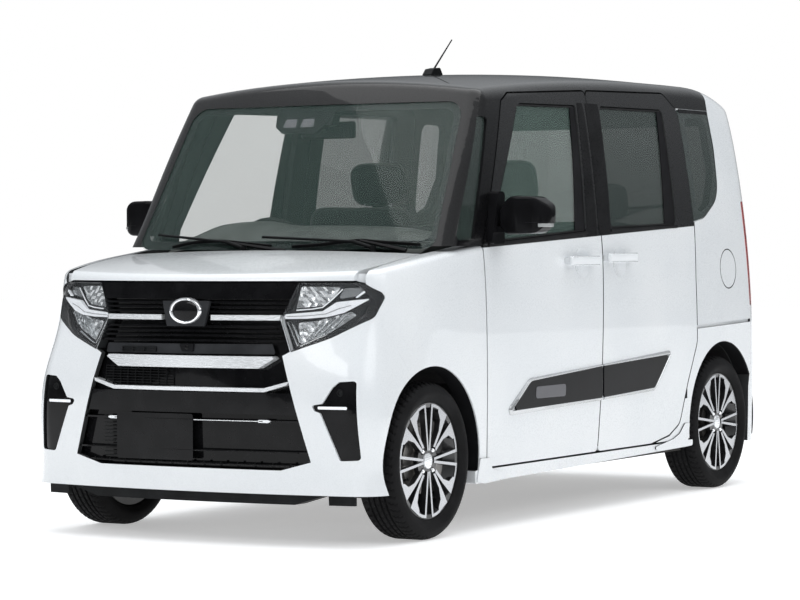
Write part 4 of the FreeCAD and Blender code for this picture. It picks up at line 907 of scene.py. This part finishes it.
MESH_BAR, SMALL_BAR = oblong(2.2, 8, 0.8), oblong(2.4, 5, 0.8)
SIDE_BAR, POST_BAR = oblong(3, 8, 0.8), oblong(5, 12, 1)
BLADE = rounded([(-2.2, -7), (2.2, -7), (1.4, 5), (-1.4, 5)], 1)
GRILLE_TIP = [(300, 433), (338, 433), (352, 438), (338, 443), (300, 443)]
BADGE_HEIGHT = 822.0
BADGE_SEAT = [(0, 6), (30, 5), (36, 2), (38, -14), (0, -14)]
BADGE_RING = [(37, -10), (38, 6), (41, 9), (45, 8), (48, 2), (48, -10)]
BADGE_STRETCH = np.array([1, 1.43, 0.99])
BADGE_PLINTH = [(-102, 857, 3), (102, 857, 3), (80, 768, 5), (-80, 768, 5)]
CAMERA_PANEL = [(-368, 704), (342, 707), (356, 671), (-373, 670)]
CAMERA_BOX = [(-30, 706), (33, 706), (29, 678), (-16, 678)]
CAMERA_LENS = [(0, 3), (6, 2.4), (8, 0), (8, -6), (0, -6)]

mesh_bars = [nose_bar((-366, z), (-88, z), 12, 13.0, MESH_BAR) for z in np.arange(556, 624, 9.5)]
mesh_bars += [nose_bar((y, 556), (y, 622), 5, 13.0, MESH_BAR) for y in np.linspace(-366, -88, 9)]
mesh_bars += [nose_bar((-372, z), (-292, z), 6, 13.0, SIDE_BAR) for z in np.arange(300, 452, 13.0)]
mesh_bars += [nose_bar((y, 278), (y, 292), 4, 14.0, POST_BAR) for y in np.arange(-420, 421, 70.0)]
mesh_bars += [nose_bar((-291, z), (-134, z), 6, 9.0, SMALL_BAR) for z in (676, 684, 692)]
mesh_bars += [nose_bar((y, 675), (y, 693), 3, 9.0, SMALL_BAR) for y in (-291, -239, -187, -134)]
make_piece("grille_mesh", joined_parts(*mesh_bars), GRAINED)
blades = [nose_bar((-half, z), (half, z), 40, 6.0, BLADE)
          for z, half in ((438, 318), (330, 452), (284, 420))]
make_piece("lower_grille_blades", joined_parts(*blades), GLOSS)
tips = both_sides(plate(rounded(GRILLE_TIP, 2), on_nose, 2.0, 9.0, 8.0))
edge_line = nose_bar((36, 438.0), (304, 438.0), 14, 3.0, SMALL_BAR)
make_piece("lower_grille_tips", joined_parts(tips, edge_line), SATIN)


def badge_form(profile):
    """A turned form on the badge's place, stretched to an oval."""
    centre = float(nose_x(0, BADGE_HEIGHT)), 0.0, BADGE_HEIGHT
    points, faces = turned(profile, centre, 56, 0)
    return (points - centre) * BADGE_STRETCH + centre, faces


make_piece("badge_seat", badge_form(BADGE_SEAT), GLOSS)
panel("badge_plinth", BADGE_PLINTH, 3, on_nose, (-2.0, 10.0), 16.0, DARK_SATIN, False, bevel=1.0)
make_piece("badge_ring", badge_form(BADGE_RING), CHROME)
panel("lower_grille_panel", CAMERA_PANEL, 6, on_nose, (12.0, 16.0), 30.0, DARK_SATIN, False)
panel("front_camera_box", CAMERA_BOX, 4, on_nose, (4.0, 20.0), 12.0, DEEP, False, bevel=2.0)
make_piece("front_camera_lens", turned(CAMERA_LENS, (float(nose_x(0, 692)) - 3, 4, 692), 24, 0), GLOSS)

# Wheels and tyres

TREAD_GROOVES = (-33, -11, 11, 33)
TREAD_PITCHES, STEPS_A_PITCH = 60, 5
GROOVE_DEPTH, GROOVE_HALF, CROWN_EDGE = 6.5, 3.6, 36
SHOULDER_DEPTH, SHOULDER_SHARE, SHOULDER_LEAN = 4.2, 0.22, 60
CENTRE_DEPTH, CENTRE_SHARE, CENTRE_LEAN = 3.0, 0.14, 40
RIB_RISE = 0.7
CAP_PROFILE, CAP_FACE = [(0, 3), (20, 2.2), (27, 0.5), (29, -3), (29, -16), (0, -16)], 712.0
NUT_PROFILE, NUT_FACE, NUT_CIRCLE = [(0, 9), (5, 8.5), (8, 6), (9.5, 0), (9.5, -14), (0, -14)], 706.0, 50
VALVE = ((150, 690, -60), (146, 700, -58), (140, 712, -55))


def tyre_form(side, x):
    """A treaded tyre: a (radius, across) profile turned round the axle, its crown cut by four
    grooves, and its shoulders and ribs by one leaning slot a pitch."""
    half = TYRE_WIDTH / 2
    outer = np.array([(BEAD_RADIUS, RIM_HALF), (200, RIM_HALF + 0.3), (FLANGE_RADIUS + 1, RIM_HALF + 3),
                      (212, RIM_HALF + 11), (220, half - 9), (231, half - 2.5), (240, half),
                      (250, half - 1.2), (259, half - 4.0), (266, half - 8), (272, half - 13),
                      (276.5, half - 19), (279.2, half - 27), (280.4, half - 34)])
    outer = smooth_path(outer, 34)
    crown = np.linspace(half - CROWN_EDGE, CROWN_EDGE - half, 41)
    top = np.full_like(crown, TYRE_RADIUS)
    for groove in TREAD_GROOVES:
        top = top - GROOVE_DEPTH * (np.abs(crown - groove) < GROOVE_HALF)
    profile = np.concatenate([outer, np.stack([top, crown], 1), (outer * (1, -1))[::-1]])
    count = STEPS_A_PITCH * TREAD_PITCHES
    turn = np.arange(count) * 2 * math.pi / count
    radius = np.repeat(profile[None, :, 0], count, 0)
    across = np.repeat(profile[None, :, 1], count, 0)
    pitch = turn[:, None] * TREAD_PITCHES / (2 * math.pi)
    shoulder = (np.abs(across) > 40) & (np.abs(across) < 72) & (radius > 266)
    slots = (pitch + np.abs(across) / SHOULDER_LEAN) % 1.0 < SHOULDER_SHARE
    radius = radius - SHOULDER_DEPTH * (shoulder & slots)
    centre = (pitch - across / CENTRE_LEAN) % 1.0 < CENTRE_SHARE
    radius = radius - CENTRE_DEPTH * (centre & (np.abs(across) < 31) & (np.abs(np.abs(across) - 11) > 4))
    ribs = (radius > 246) & (radius < 250) & (np.abs(across) > 70)
    across = across + np.sign(across) * np.where(ribs, RIB_RISE, 0)
    radius = np.minimum(radius, TYRE_RADIUS)
    points = np.stack([x + radius * np.cos(turn)[:, None], side * TRACK_HALF + across,
                       TYRE_RADIUS + radius * np.sin(turn)[:, None]], -1)
    return points.reshape(-1, 3), grid_faces(count, profile.shape[0], True, True)


def facing(profile, x, face, z, side, count):
    """A form turned round the car's cross axis, facing outwards on its side."""
    points, faces = turned(profile, (x, side * face, z), count)
    points[:, 1] = side * face + side * (points[:, 1] - side * face)
    return points, faces


for axle, x in AXLES.items():
    for side_name, side in SIDES.items():
        wheel = f"{axle}_{side_name}"
        body = f"wheel_{wheel}"
        make_piece(f"treaded_tyre_{wheel}", tyre_form(side, x), RUBBER, body,
                   replaces=(f"tyre_{wheel}",), crease=32.0)
        cap = facing(CAP_PROFILE, x, CAP_FACE, TYRE_RADIUS, side, 48)
        make_piece(f"wheel_cap_{wheel}", cap, SATIN, body, slot="alloy")
        nuts = [facing(NUT_PROFILE, x + NUT_CIRCLE * math.cos(a), NUT_FACE,
                       TYRE_RADIUS + NUT_CIRCLE * math.sin(a), side, 6)
                for a in np.radians([45, 135, 225, 315])]
        make_piece(f"lug_nuts_{wheel}", joined_parts(*nuts), CHROME, body, bevel=1.0)
        stem = sweep([(x + a, side * b, TYRE_RADIUS + c) for a, b, c in VALVE], circle(4.0, 10),
                     upright=(1, 0, 0))
        make_piece(f"valve_stem_{wheel}", stem, SEALING, body, slot="tyre")

# Body sides: garnish frames, plaques, skirt risers, mirrors and handles

GARNISH = {"front": (((-104, 569), (494, 536), (652, 427), (-104, 440)), (4, 8, 15, 8)),
           "sliding": (((-118, 441), (-582, 458), (-728, 593), (-118, 569)), (8, 11, 13, 4))}
TRIM_SECTION = ((-3.0, 0, -6.6), (-1.5, 0, -8.8), (0, 0.35, -8.8), (0, 1.0, -3.0), (0, 1.0, 0.6),
                (-3.0, 0, 0.6))
TRIM_SAMPLES, SOFT_REACH, SOFT_WINDOW = 120, 2, np.full(5, 0.2)
PLAQUE_OUTLINE = [(455, 466), (452, 511), (209, 511), (213, 464)]
SKIRT_RISERS = {"front": [(874, 268, 6), (800, 266, 6), (786, 226, 14), (716, 209, 4), (716, 178, 2),
                          (841, 174, 6), (897, 184, 6)],
                "rear": [(-872, 297, 6), (-918, 297, 6), (-900, 200, 6), (-622, 196, 6), (-580, 214, 8),
                         (-760, 238, 30), (-822, 257, 20)]}
MIRROR_FACE_X, MIRROR_REACH = 673.6, 955.3
MIRROR_FACE = [(772, 1104), (915, 1103, 36), (941, 1142, 30), (940, 1184, 36), (900, 1214, 44),
               (806, 1216, 46), (770, 1178, 40)]
MIRROR_END = rounded([(778, 830, 80), (766, 925, 60), (718, 958, 36), (680, 952, 8)], 60, 4)
HANDLES = {"front": (-52, 190, 983), "sliding": (-388, -140, 992)}


def edge_trim(corners, widths):
    """A plated strip outside an open outline on the body side: a six-point section from the trim's
    face down to the skin, as wide at each corner as given and straight between."""
    corners = np.asarray(corners, float)
    far = distance_along(corners)
    at = np.unique(np.concatenate([np.linspace(0, far[-1], TRIM_SAMPLES), far]))
    route = points_along(corners, at)
    soft = [np.convolve(np.pad(route[:, i], SOFT_REACH, "edge"), SOFT_WINDOW, "valid") for i in range(2)]
    route[SOFT_REACH:-SOFT_REACH] = np.stack(soft, 1)[SOFT_REACH:-SOFT_REACH]
    wide = np.interp(at, far, widths)[:, None]
    run = np.gradient(route, axis=0)
    out = np.stack([run[:, 1], -run[:, 0]], 1) / np.linalg.norm(run, axis=1)[:, None]
    out = out * np.sign(((route - route.mean(0)) * out).sum())
    rings = [on_side(route + out * (shift + share * wide), depth) for shift, share, depth in TRIM_SECTION]
    return capped(np.stack(rings, 1))


def for_side(part, side):
    return part if side > 0 else mirrored(part)


def side_plate(name, side_name, outline, radius, depths, step, material, body="root", **how):
    """A plate on one body side, named after it."""
    part = plate(rounded(outline, radius), on_side, *depths, step)
    make_piece(f"{name}_{side_name}", for_side(part, SIDES[side_name]), material, body, **how)


def mirror_strip(low_x, low_y, height, profile):
    """A strip along the outer end of the mirror, kept within its reach."""
    route = MIRROR_END[(MIRROR_END[:, 1] > low_y) & (MIRROR_END[:, 0] > low_x)]
    points, faces = sweep(np.insert(route, 2, height, 1), profile)
    points[:, 1] = np.minimum(points[:, 1], MIRROR_REACH)
    return points, faces


def mirror_place(points, depth):
    """(y, z) pairs on the mirror's upright face, moved back by depth."""
    return np.insert(np.asarray(points, float), 0, MIRROR_FACE_X - depth, 1)


for side_name, side in SIDES.items():
    door = f"front_door_{side_name}"
    for tag, rider in (("front", door), ("sliding", "root")):
        make_piece(f"garnish_chrome_{tag}_{side_name}", for_side(edge_trim(*GARNISH[tag]), side),
                   TRIM_CHROME, rider)
    side_plate("garnish_plaque", side_name, PLAQUE_OUTLINE, 12, (-8.6, -6.5), 20.0, PLAQUE, door, bevel=0.8)
    for tag, outline in SKIRT_RISERS.items():
        riser = plate(with_steps(rounded(outline, 6), 12), on_side, -5.0, 2.0, 14.0)
        make_piece(f"skirt_riser_{tag}_{side_name}", for_side(riser, side), WHITE, bevel=2.0)
    for name, part, material in (
            ("mirror_glass", plate(rounded(MIRROR_FACE, 24), mirror_place, 0.0, -1.2, 20.0), MIRROR_GLASS),
            ("mirror_turn_lamp", mirror_strip(700, 918, 1119.0, oblong(4, 13, 2)), TURN_LENS),
            ("mirror_seam", mirror_strip(690, 832, 1129.5, oblong(1.6, 2.2, 0.6)), DEEP)):
        make_piece(f"{name}_{side_name}", for_side(part, side), material, door)

for side_name, side in SIDES.items():
    for tag, rider in (("front", f"front_door_{side_name}"), ("sliding", "root")):
        x0, x1, z = HANDLES[tag]
        y = float(half_width((x0 + x1) / 2, z))
        strips = [block(x0 + 7, x1 - 7, y + 24, y + 38.6, z + e - 1.6, z + e + 1.6) for e in (-16.6, 16.6)]
        make_piece(f"handle_edges_{tag}_{side_name}", for_side(joined_parts(*strips), side), CHROME, rider,
                   bevel=1.2)

# Glass run channels, pillar film and weather strips: an outline, a rubber, a film and a belt line each

SIDE_WINDOWS = {
    "front": ([(435, 1586), (-48, 1594), (-14, 1094), (785, 1050)],
              [(70, 1094), (-5, 1587), (-46, 1592), (-16, 1096)],
              [(-62, 1604), (-104, 1604), (-112, 1560), (-107, 1078), (-22, 1076), (-58, 1560)],
              ((775, 1047), (-22, 1091), 40)),
    "sliding": ([(-252, 1598), (-833, 1603), (-843, 1119), (-236, 1104)],
                [(-741, 1140), (-790, 1596), (-829, 1601), (-838, 1121), (-742, 1121)],
                [(-130, 1604), (-240, 1604), (-244, 1560), (-228, 1108), (-228, 1084), (-124, 1080),
                 (-130, 1560)],
                ((-232, 1101), (-846, 1116), 30))}
ROOF_FILM = [(-992, 1596), (-992, 1611), (-1286, 1611), (-1288, 1596)]
RUN_WIDTH, RUN_DEPTH, RUN_RISE = 11.0, 6.0, 3.0


def run_channel(outline):
    """A rubber band round the inside of an outline on the body side, arched over its middle."""
    route = with_steps(outline, 14.0)
    steps = ((0, RUN_DEPTH + 2), (0, RUN_DEPTH), (RUN_WIDTH / 2, RUN_DEPTH - RUN_RISE),
             (RUN_WIDTH, RUN_DEPTH), (RUN_WIDTH, RUN_DEPTH + 2))
    rings = [on_side(shrunk(route, inset), depth) for inset, depth in steps]
    return np.asarray(rings).reshape(-1, 3), grid_faces(len(steps), len(route), True, True)


for side_name, side in SIDES.items():
    side_plate("quarter_film", side_name, ROOF_FILM, 2, (-0.9, 0.6), 20.0, GLOSS)
    for tag, rider in (("front", f"front_door_{side_name}"), ("sliding", "root")):
        window, rubber, film, belt = SIDE_WINDOWS[tag]
        channel = run_channel(shrunk(rounded(window, 28), 0.6))
        make_piece(f"glass_run_{tag}_{side_name}", for_side(channel, side), SEALING, rider)
        side_plate(f"window_rubber_{tag}", side_name, rubber, 4, (5.0, 8.0), 30.0, DEEP, rider)
        side_plate(f"pillar_film_{tag}", side_name, film, 6, (-0.9, 0.6), 24.0, FILM, rider)
        strip = sweep(on_side(np.linspace(*belt), -1.0), oblong(4, 13, 1.5), upright=(0, 0.05, 1))
        make_piece(f"belt_strip_{tag}_{side_name}", for_side(strip, side), SEALING, rider)

# Windscreen: the printed black band round its edge, the sensor housing and the wiper blades

SCREEN_EDGE = [(-653, 1036, 40), (653, 1036, 40), (598, 1581, 66), (-598, 1581, 66)]
BAND_EDGE = [(-630, 1066, 36), (630, 1066, 36), (572, 1556, 50), (-572, 1556, 50)]
CAMERA_HOUSING = [(-196, 1560), (80, 1560, 30), (36, 1500, 20), (10, 1470, 16), (-140, 1474, 14),
                  (-180, 1500, 16)]
WIPERS = (([(-470, 1046), (-381, 1062), (-254, 1068), (-152, 1061), (-14, 1049)], (60, 1030)),
          ([(84, 1046), (184, 1052), (291, 1062), (365, 1068), (444, 1062), (600, 1052)], (560, 1030)))
SCREEN_UP = (0.52, 0, 0.85)


def band_between(outer, inner, place, depth_front, depth_back, count=260):
    """A thin ring between two outlines, matched by their share of the way round."""
    rings = []
    for outline in (outer, inner):
        closed = np.concatenate([outline, outline[:1]])
        far = distance_along(closed)[-1]
        rings.append(points_along(closed, np.linspace(0, far, count, endpoint=False)))
    middle = [rings[0] + (rings[1] - rings[0]) * a for a in (0, 0.5, 1)]
    points = [place(r, depth_front) for r in middle] + [place(r, depth_back) for r in middle[::-1]]
    return np.concatenate(points), grid_faces(6, count, True, True)


band = band_between(rounded(SCREEN_EDGE, 40), rounded(BAND_EDGE, 46), on_screen, 8.2, 9.0)
make_piece("windscreen_band", band, DEEP)
panel("camera_housing", CAMERA_HOUSING, 16, on_screen, (8.8, 34.0), 24.0, DEEP, False, bevel=4.0,
      slot="cabin_plastic")
eyes = [plate(rounded([(y - 31, 1498), (y + 31, 1498), (y + 26, 1530), (y - 24, 1530)], 5), on_screen,
              8.1, 9.4, 20.0) for y in (-117, -38)]
make_piece("camera_windows", joined_parts(*eyes), PLAQUE, slot="gloss_black")
wipers = []
for corners, pivot in WIPERS:
    run = smooth_path(corners, 30)
    arm = np.linspace(pivot, corners[len(corners) // 2], 16)
    for route, depth, profile, size in (
            (run, -12.0, rounded([(-4, -6), (4, -6), (2.5, 6), (-2.5, 6)], 2), None),
            (run, -4.0, rounded([(-1.2, -5), (1.2, -5), (2.5, 5), (-2.5, 5)], 0.6), None),
            (arm, -19.0, oblong(12, 7, 2), np.linspace(1.5, 0.8, 16))):
        wipers.append(sweep(on_screen(route, depth), profile, upright=SCREEN_UP, size=size))
make_piece("wiper_blades", joined_parts(*wipers), SEALING)

# Painted shade: dark bands just inside the wheel openings, over the body-coloured return faces; the paint
# behind the lamps' top corners and the dash's soft top

ARCHES = {"front": (1212.0, 338.0), "rear": (-1268.0, 345.0)}
# Section of the painted-shade band round each wheel opening: (growth of the radius, depth in from the body
# side)
ARCH_SHADE_SECTION = ((-0.6, 5.0), (-2.4, 5.0), (-3.4, 66.0), (-1.0, 66.0))
CORNER_FILL = [(612, 926), (676, 912), (664, 952), (618, 952)]
DASH_SECTION = ((1040, 1046, 4), (1000, 1062, 6), (930, 1090, 10), (860, 1106, 14), (815, 1108, 16),
                (798, 1098, 14), (800, 1080, 8), (900, 1066, 4), (1030, 1036, 0))
DASH_FRONT, DASH_HALF, DASH_FLARE = 1040, 560, 30 / 240
HOOD_Y, HOOD_RISE, HOOD_HALF = -300, 22, 170


def arch_shade_band(middle, radius):
    """Painted shade just inside a wheel opening: a dark band over the body-coloured return face, where
    shade falls; an arc from sill to sill, swept 60 mm inwards from the body side."""
    turn = np.linspace(math.radians(-12), math.radians(192), 90)
    rings = []
    for grow, inner in ARCH_SHADE_SECTION:
        x = middle + (radius + grow) * np.cos(turn)
        z = TYRE_RADIUS + (radius + grow) * np.sin(turn)
        rings.append(np.stack([x, half_width(x, z) - inner, z], 1))
    return capped(np.stack(rings, 1))


def dash_top():
    """The dash's crowned top: its section in side view carried across the car, lifted by a parabola,
    dropped at the ends with the sixth power, and raised in a hood before the driver."""
    across = np.linspace(-1, 1, 61)
    rings = []
    for x, z, lift in DASH_SECTION:
        half = DASH_HALF + DASH_FLARE * (DASH_FRONT - x)
        hood = HOOD_RISE * np.exp(-((across * half - HOOD_Y) / HOOD_HALF) ** 4) * (lift > 9)
        height = z + lift * (1 - across ** 2) + hood - 40 * np.abs(across) ** 6
        rings.append(np.stack([np.full(61, float(x)), across * half, height], 1))
    return capped(np.stack(rings, 1))


# Dark bands of painted shade round the wheel openings
for axle, place in ARCHES.items():
    make_piece(f"arch_shade_band_{axle}", both_sides(arch_shade_band(*place)), DEEP)
panel("lamp_corner_fill", CORNER_FILL, 5, on_nose, (16.0, 20.0), 8.0, WHITE)
make_piece("dash_top_pad", dash_top(), DASH_TOP, bevel=2.0, crease=50)

# Rear: high stop lamp, grab, plate and wiper on the tailgate, and low reflectors

STOP_LAMP = [(-150, 1628), (150, 1628), (150, 1640), (-150, 1640)]
GRAB = [(-310, 862), (310, 862), (300, 902), (-300, 902)]
GRAB_STRIP = [(-296, 893), (296, 893), (296, 899), (-296, 899)]
REAR_PLATE = [(-165, 690), (165, 690), (165, 855), (-165, 855)]
LOW_REFLECTOR = [(520, 372), (640, 372), (632, 398), (528, 398)]
WIPER_HUB, HUB_HEIGHT = [(0, 24), (14, 22), (20, 16), (22, -4), (0, -4)], 1148

for name, outline, radius, depths, step, material, bevel in (
        ("high_stop_lamp", STOP_LAMP, 4, (-4.0, 4.0), 16.0, RED_LENS, 1.5),
        ("tailgate_grab", GRAB, 10, (-7.0, 2.0), 20.0, WHITE, 3.0),
        ("tailgate_grab_strip", GRAB_STRIP, 2, (-8.6, -5.0), 20.0, CHROME, 0.0),
        ("rear_number_plate", REAR_PLATE, 8, (-5.0, 1.0), 24.0, GRAINED, 1.0)):
    panel(name, outline, radius, on_tail, depths, step, material, False, body="tailgate", bevel=bevel)
hub_x = float(tail_x(0, HUB_HEIGHT))
hub_points, hub_faces = turned(WIPER_HUB, (hub_x, 0, HUB_HEIGHT), 28, 0)
hub_points[:, 0] = 2 * hub_x - hub_points[:, 0]
bars = [sweep(on_tail(np.linspace(start, end, count), depth), profile, upright=(0.1, 0, 1))
        for start, end, count, depth, profile in (
            ((-20, 1196), (330, 1214), 20, -12.0, oblong(5, 16, 2)),
            ((0, 1150), (170, 1204), 10, -18.0, oblong(7, 14, 3)))]
make_piece("rear_wiper", joined_parts(*bars, (hub_points, hub_faces)), SEALING, "tailgate")
panel("rear_reflectors", LOW_REFLECTOR, 6, on_tail, (-2.0, 2.0), 12.0, RED_LENS, bevel=1.5)

# Seats

UPRIGHT = (-1, 1, -1)
REAR_CHANNELS = (-420, -300, -180, 180, 300, 420)
SIDE_COVER = [(10, 480), (190, 468), (560, 470), (560, 520), (180, 534), (60, 600), (0, 590)]
RUNNER_LOW, RUNNER_HIGH = 225.4, 262


def padded_piece(name, part, fill, **how):
    """A seat pad in seat cloth."""
    make_piece(name, part, CLOTH, crease=60, **how)


def posts(places, y, gap):
    """A headrest's two round posts through (x, z) places."""
    return [sweep([(x, y + s, z) for x, z in places], circle(6, 12), upright=(0, 1, 0))
            for s in (-gap, gap)]


def seat_frame(y):
    """A seat's pan with its legs on two floor runners."""
    pan = plate(rounded([(150, y - 190), (560, y - 190), (560, y + 190), (150, y + 190)], 30),
                lambda p, d: np.insert(p, 2, 480 - d, 1), 0.0, 90.0, 80.0)
    runners = [block(120, 560, y + s - 14, y + s + 14, RUNNER_LOW, RUNNER_HIGH) for s in (-170, 170)]
    legs = [block(x, x + 40, y + s - 9, y + s + 9, 255, 400) for s in (-170, 170) for x in (170, 480)]
    return joined_parts(pan, *runners, *legs)


for number, y in (("driver", -300), ("passenger", 300)):
    padded_piece(f"{number}_seat_cushion",
                 moved(cushion(486, 560, 168, 0.42, (-78, 78), 16), (322, y, 548), -3), 0.8,
                 replaces=("front_seats",) if number == "driver" else ())
    padded_piece(f"{number}_seat_back",
                 moved(cushion(486, 640, 118, 0.42, (-82, 82), 14), (-48, y, 900), 104, UPRIGHT), 0.8)
    padded_piece(f"{number}_seat_headrest",
                 moved(cushion(266, 184, 96, 0.5, square=0.55), (-146, y, 1296), 104, UPRIGHT), 0.9)
    make_piece(f"{number}_headrest_posts",
               joined_parts(*posts(((-118, 1170), (-132, 1215), (-146, 1262)), y, 62)), CHROME)
    make_piece(f"{number}_seat_frame", seat_frame(y), CABIN, bevel=3.0)
    outer = y + math.copysign(252, y)
    cover = plate(rounded(SIDE_COVER, 18),
                  lambda p, d: np.insert(p, 1, outer - math.copysign(d, y), 1), 0.0, 12.0, 40.0)
    make_piece(f"{number}_seat_side_cover", cover, CABIN, bevel=3.0)

padded_piece("rear_seat_cushion",
             moved(cushion(1170, 510, 148, 0.40, REAR_CHANNELS), (-590, 0, 532), -3), 0.8,
             replaces=("rear_seat",))
padded_piece("rear_seat_back",
             moved(cushion(1170, 620, 96, 0.40, (*REAR_CHANNELS, 0)), (-893, 0, 846), 102, UPRIGHT), 0.8)
for number, y in (("left", 300), ("right", -300)):
    padded_piece(f"rear_headrest_{number}",
                 moved(cushion(252, 156, 88, 0.5, square=0.55), (-976, y, 1226), 102, UPRIGHT), 0.9)
rear_posts = [post for y in (-300, 300)
              for post in posts(((-948, 1110), (-958, 1150), (-968, 1190)), y, 50)]
make_piece("rear_headrest_posts", joined_parts(*rear_posts), CHROME)
stand = joined_parts(*[block(-770, -360, y - 20, y + 20, RUNNER_LOW, 470) for y in (-480, -160, 160, 480)])
make_piece("rear_seat_stand", stand, CABIN, bevel=4.0)


# Stage, light and camera

bpy.ops.mesh.primitive_plane_add(size=60)
floor = bpy.context.object
floor.name = "floor"
floor_material, floor_tree, floor_shader = new_material("floor_white", Roughness=0.65,
                                                        Specular_IOR_Level=0.2, Emission_Strength=0.42,
                                                        Emission_Color=(1, 1, 1, 1))
wire(floor_tree, floor_shader, base_color=drift(floor_tree, 0.4, (0.80, 0.80, 0.80), (0.84, 0.84, 0.84)))
floor.data.materials.append(floor_material)

world = bpy.data.worlds.new("studio")
bpy.context.scene.world = world
world.use_nodes = True
sky = world.node_tree
place = sky.nodes.new("ShaderNodeTexCoord")
split = sky.nodes.new("ShaderNodeSeparateXYZ")
sky.links.new(place.outputs["Generated"], split.inputs[0])
height = remap(sky, split.outputs["Z"], 0.05, 0.75, 0.0, 1.0)
surround = mix_colour(sky, height, (0.07, 0.075, 0.08), (0.92, 0.95, 0.98))
to_camera = sky.nodes.new("ShaderNodeLightPath").outputs["Is Camera Ray"]
wire(sky, sky.nodes["Background"], color=mix_colour(sky, to_camera, surround, (1.0, 1.0, 1.0)))
bpy.context.scene.view_settings.view_transform = "Standard"


for name, place, target, size, power in (
        ("overhead", (0.5, 0.5, 5.5), (0, 0, 0), (7.0, 5.0), 205),
        ("left_side", (1.0, 8.5, 4.5), (0, 0, 0.8), (8.0, 2.0), 110),
        ("front", (9.0, -2.0, 5.0), (1.5, 0, 0.8), (5.0, 2.0), 120)):
    data = bpy.data.lights.new(name, "AREA")
    data.shape = "RECTANGLE"
    data.size, data.size_y = size
    data.energy = power
    light = bpy.data.objects.new(name, data)
    bpy.context.collection.objects.link(light)
    light.location = place
    light.rotation_euler = (Vector(target) - Vector(place)).to_track_quat("-Z", "Y").to_euler()

CAMERA_PLACE = (10.3289, 6.0148, 1.078)
YAW, PITCH, ROLL = 3.6687, -0.0046, -0.0058
FOCAL_PX, CENTRE_X, CENTRE_Y = 2964.07, 426.05, 250.74
IMAGE_WIDTH, IMAGE_HEIGHT, SENSOR = 800, 600, 36.0

look = Vector((math.cos(PITCH) * math.cos(YAW), math.cos(PITCH) * math.sin(YAW), math.sin(PITCH)))
right = look.cross(Vector((0, 0, 1))).normalized()
up = right.cross(look)
tilted_right = right * math.cos(ROLL) + up * math.sin(ROLL)
tilted_up = up * math.cos(ROLL) - right * math.sin(ROLL)
turn = Matrix((tilted_right, tilted_up, -look)).transposed().to_4x4()
camera_data = bpy.data.cameras.new("camera")
camera_data.sensor_width = SENSOR
camera_data.lens = FOCAL_PX / IMAGE_WIDTH * SENSOR
camera_data.shift_x = (IMAGE_WIDTH / 2 - CENTRE_X) / IMAGE_WIDTH
camera_data.shift_y = (CENTRE_Y - IMAGE_HEIGHT / 2) / IMAGE_WIDTH
camera_data.clip_end = 200
camera = bpy.data.objects.new("camera", camera_data)
bpy.context.collection.objects.link(camera)
camera.matrix_world = Matrix.Translation(CAMERA_PLACE) @ turn
bpy.context.scene.camera = camera
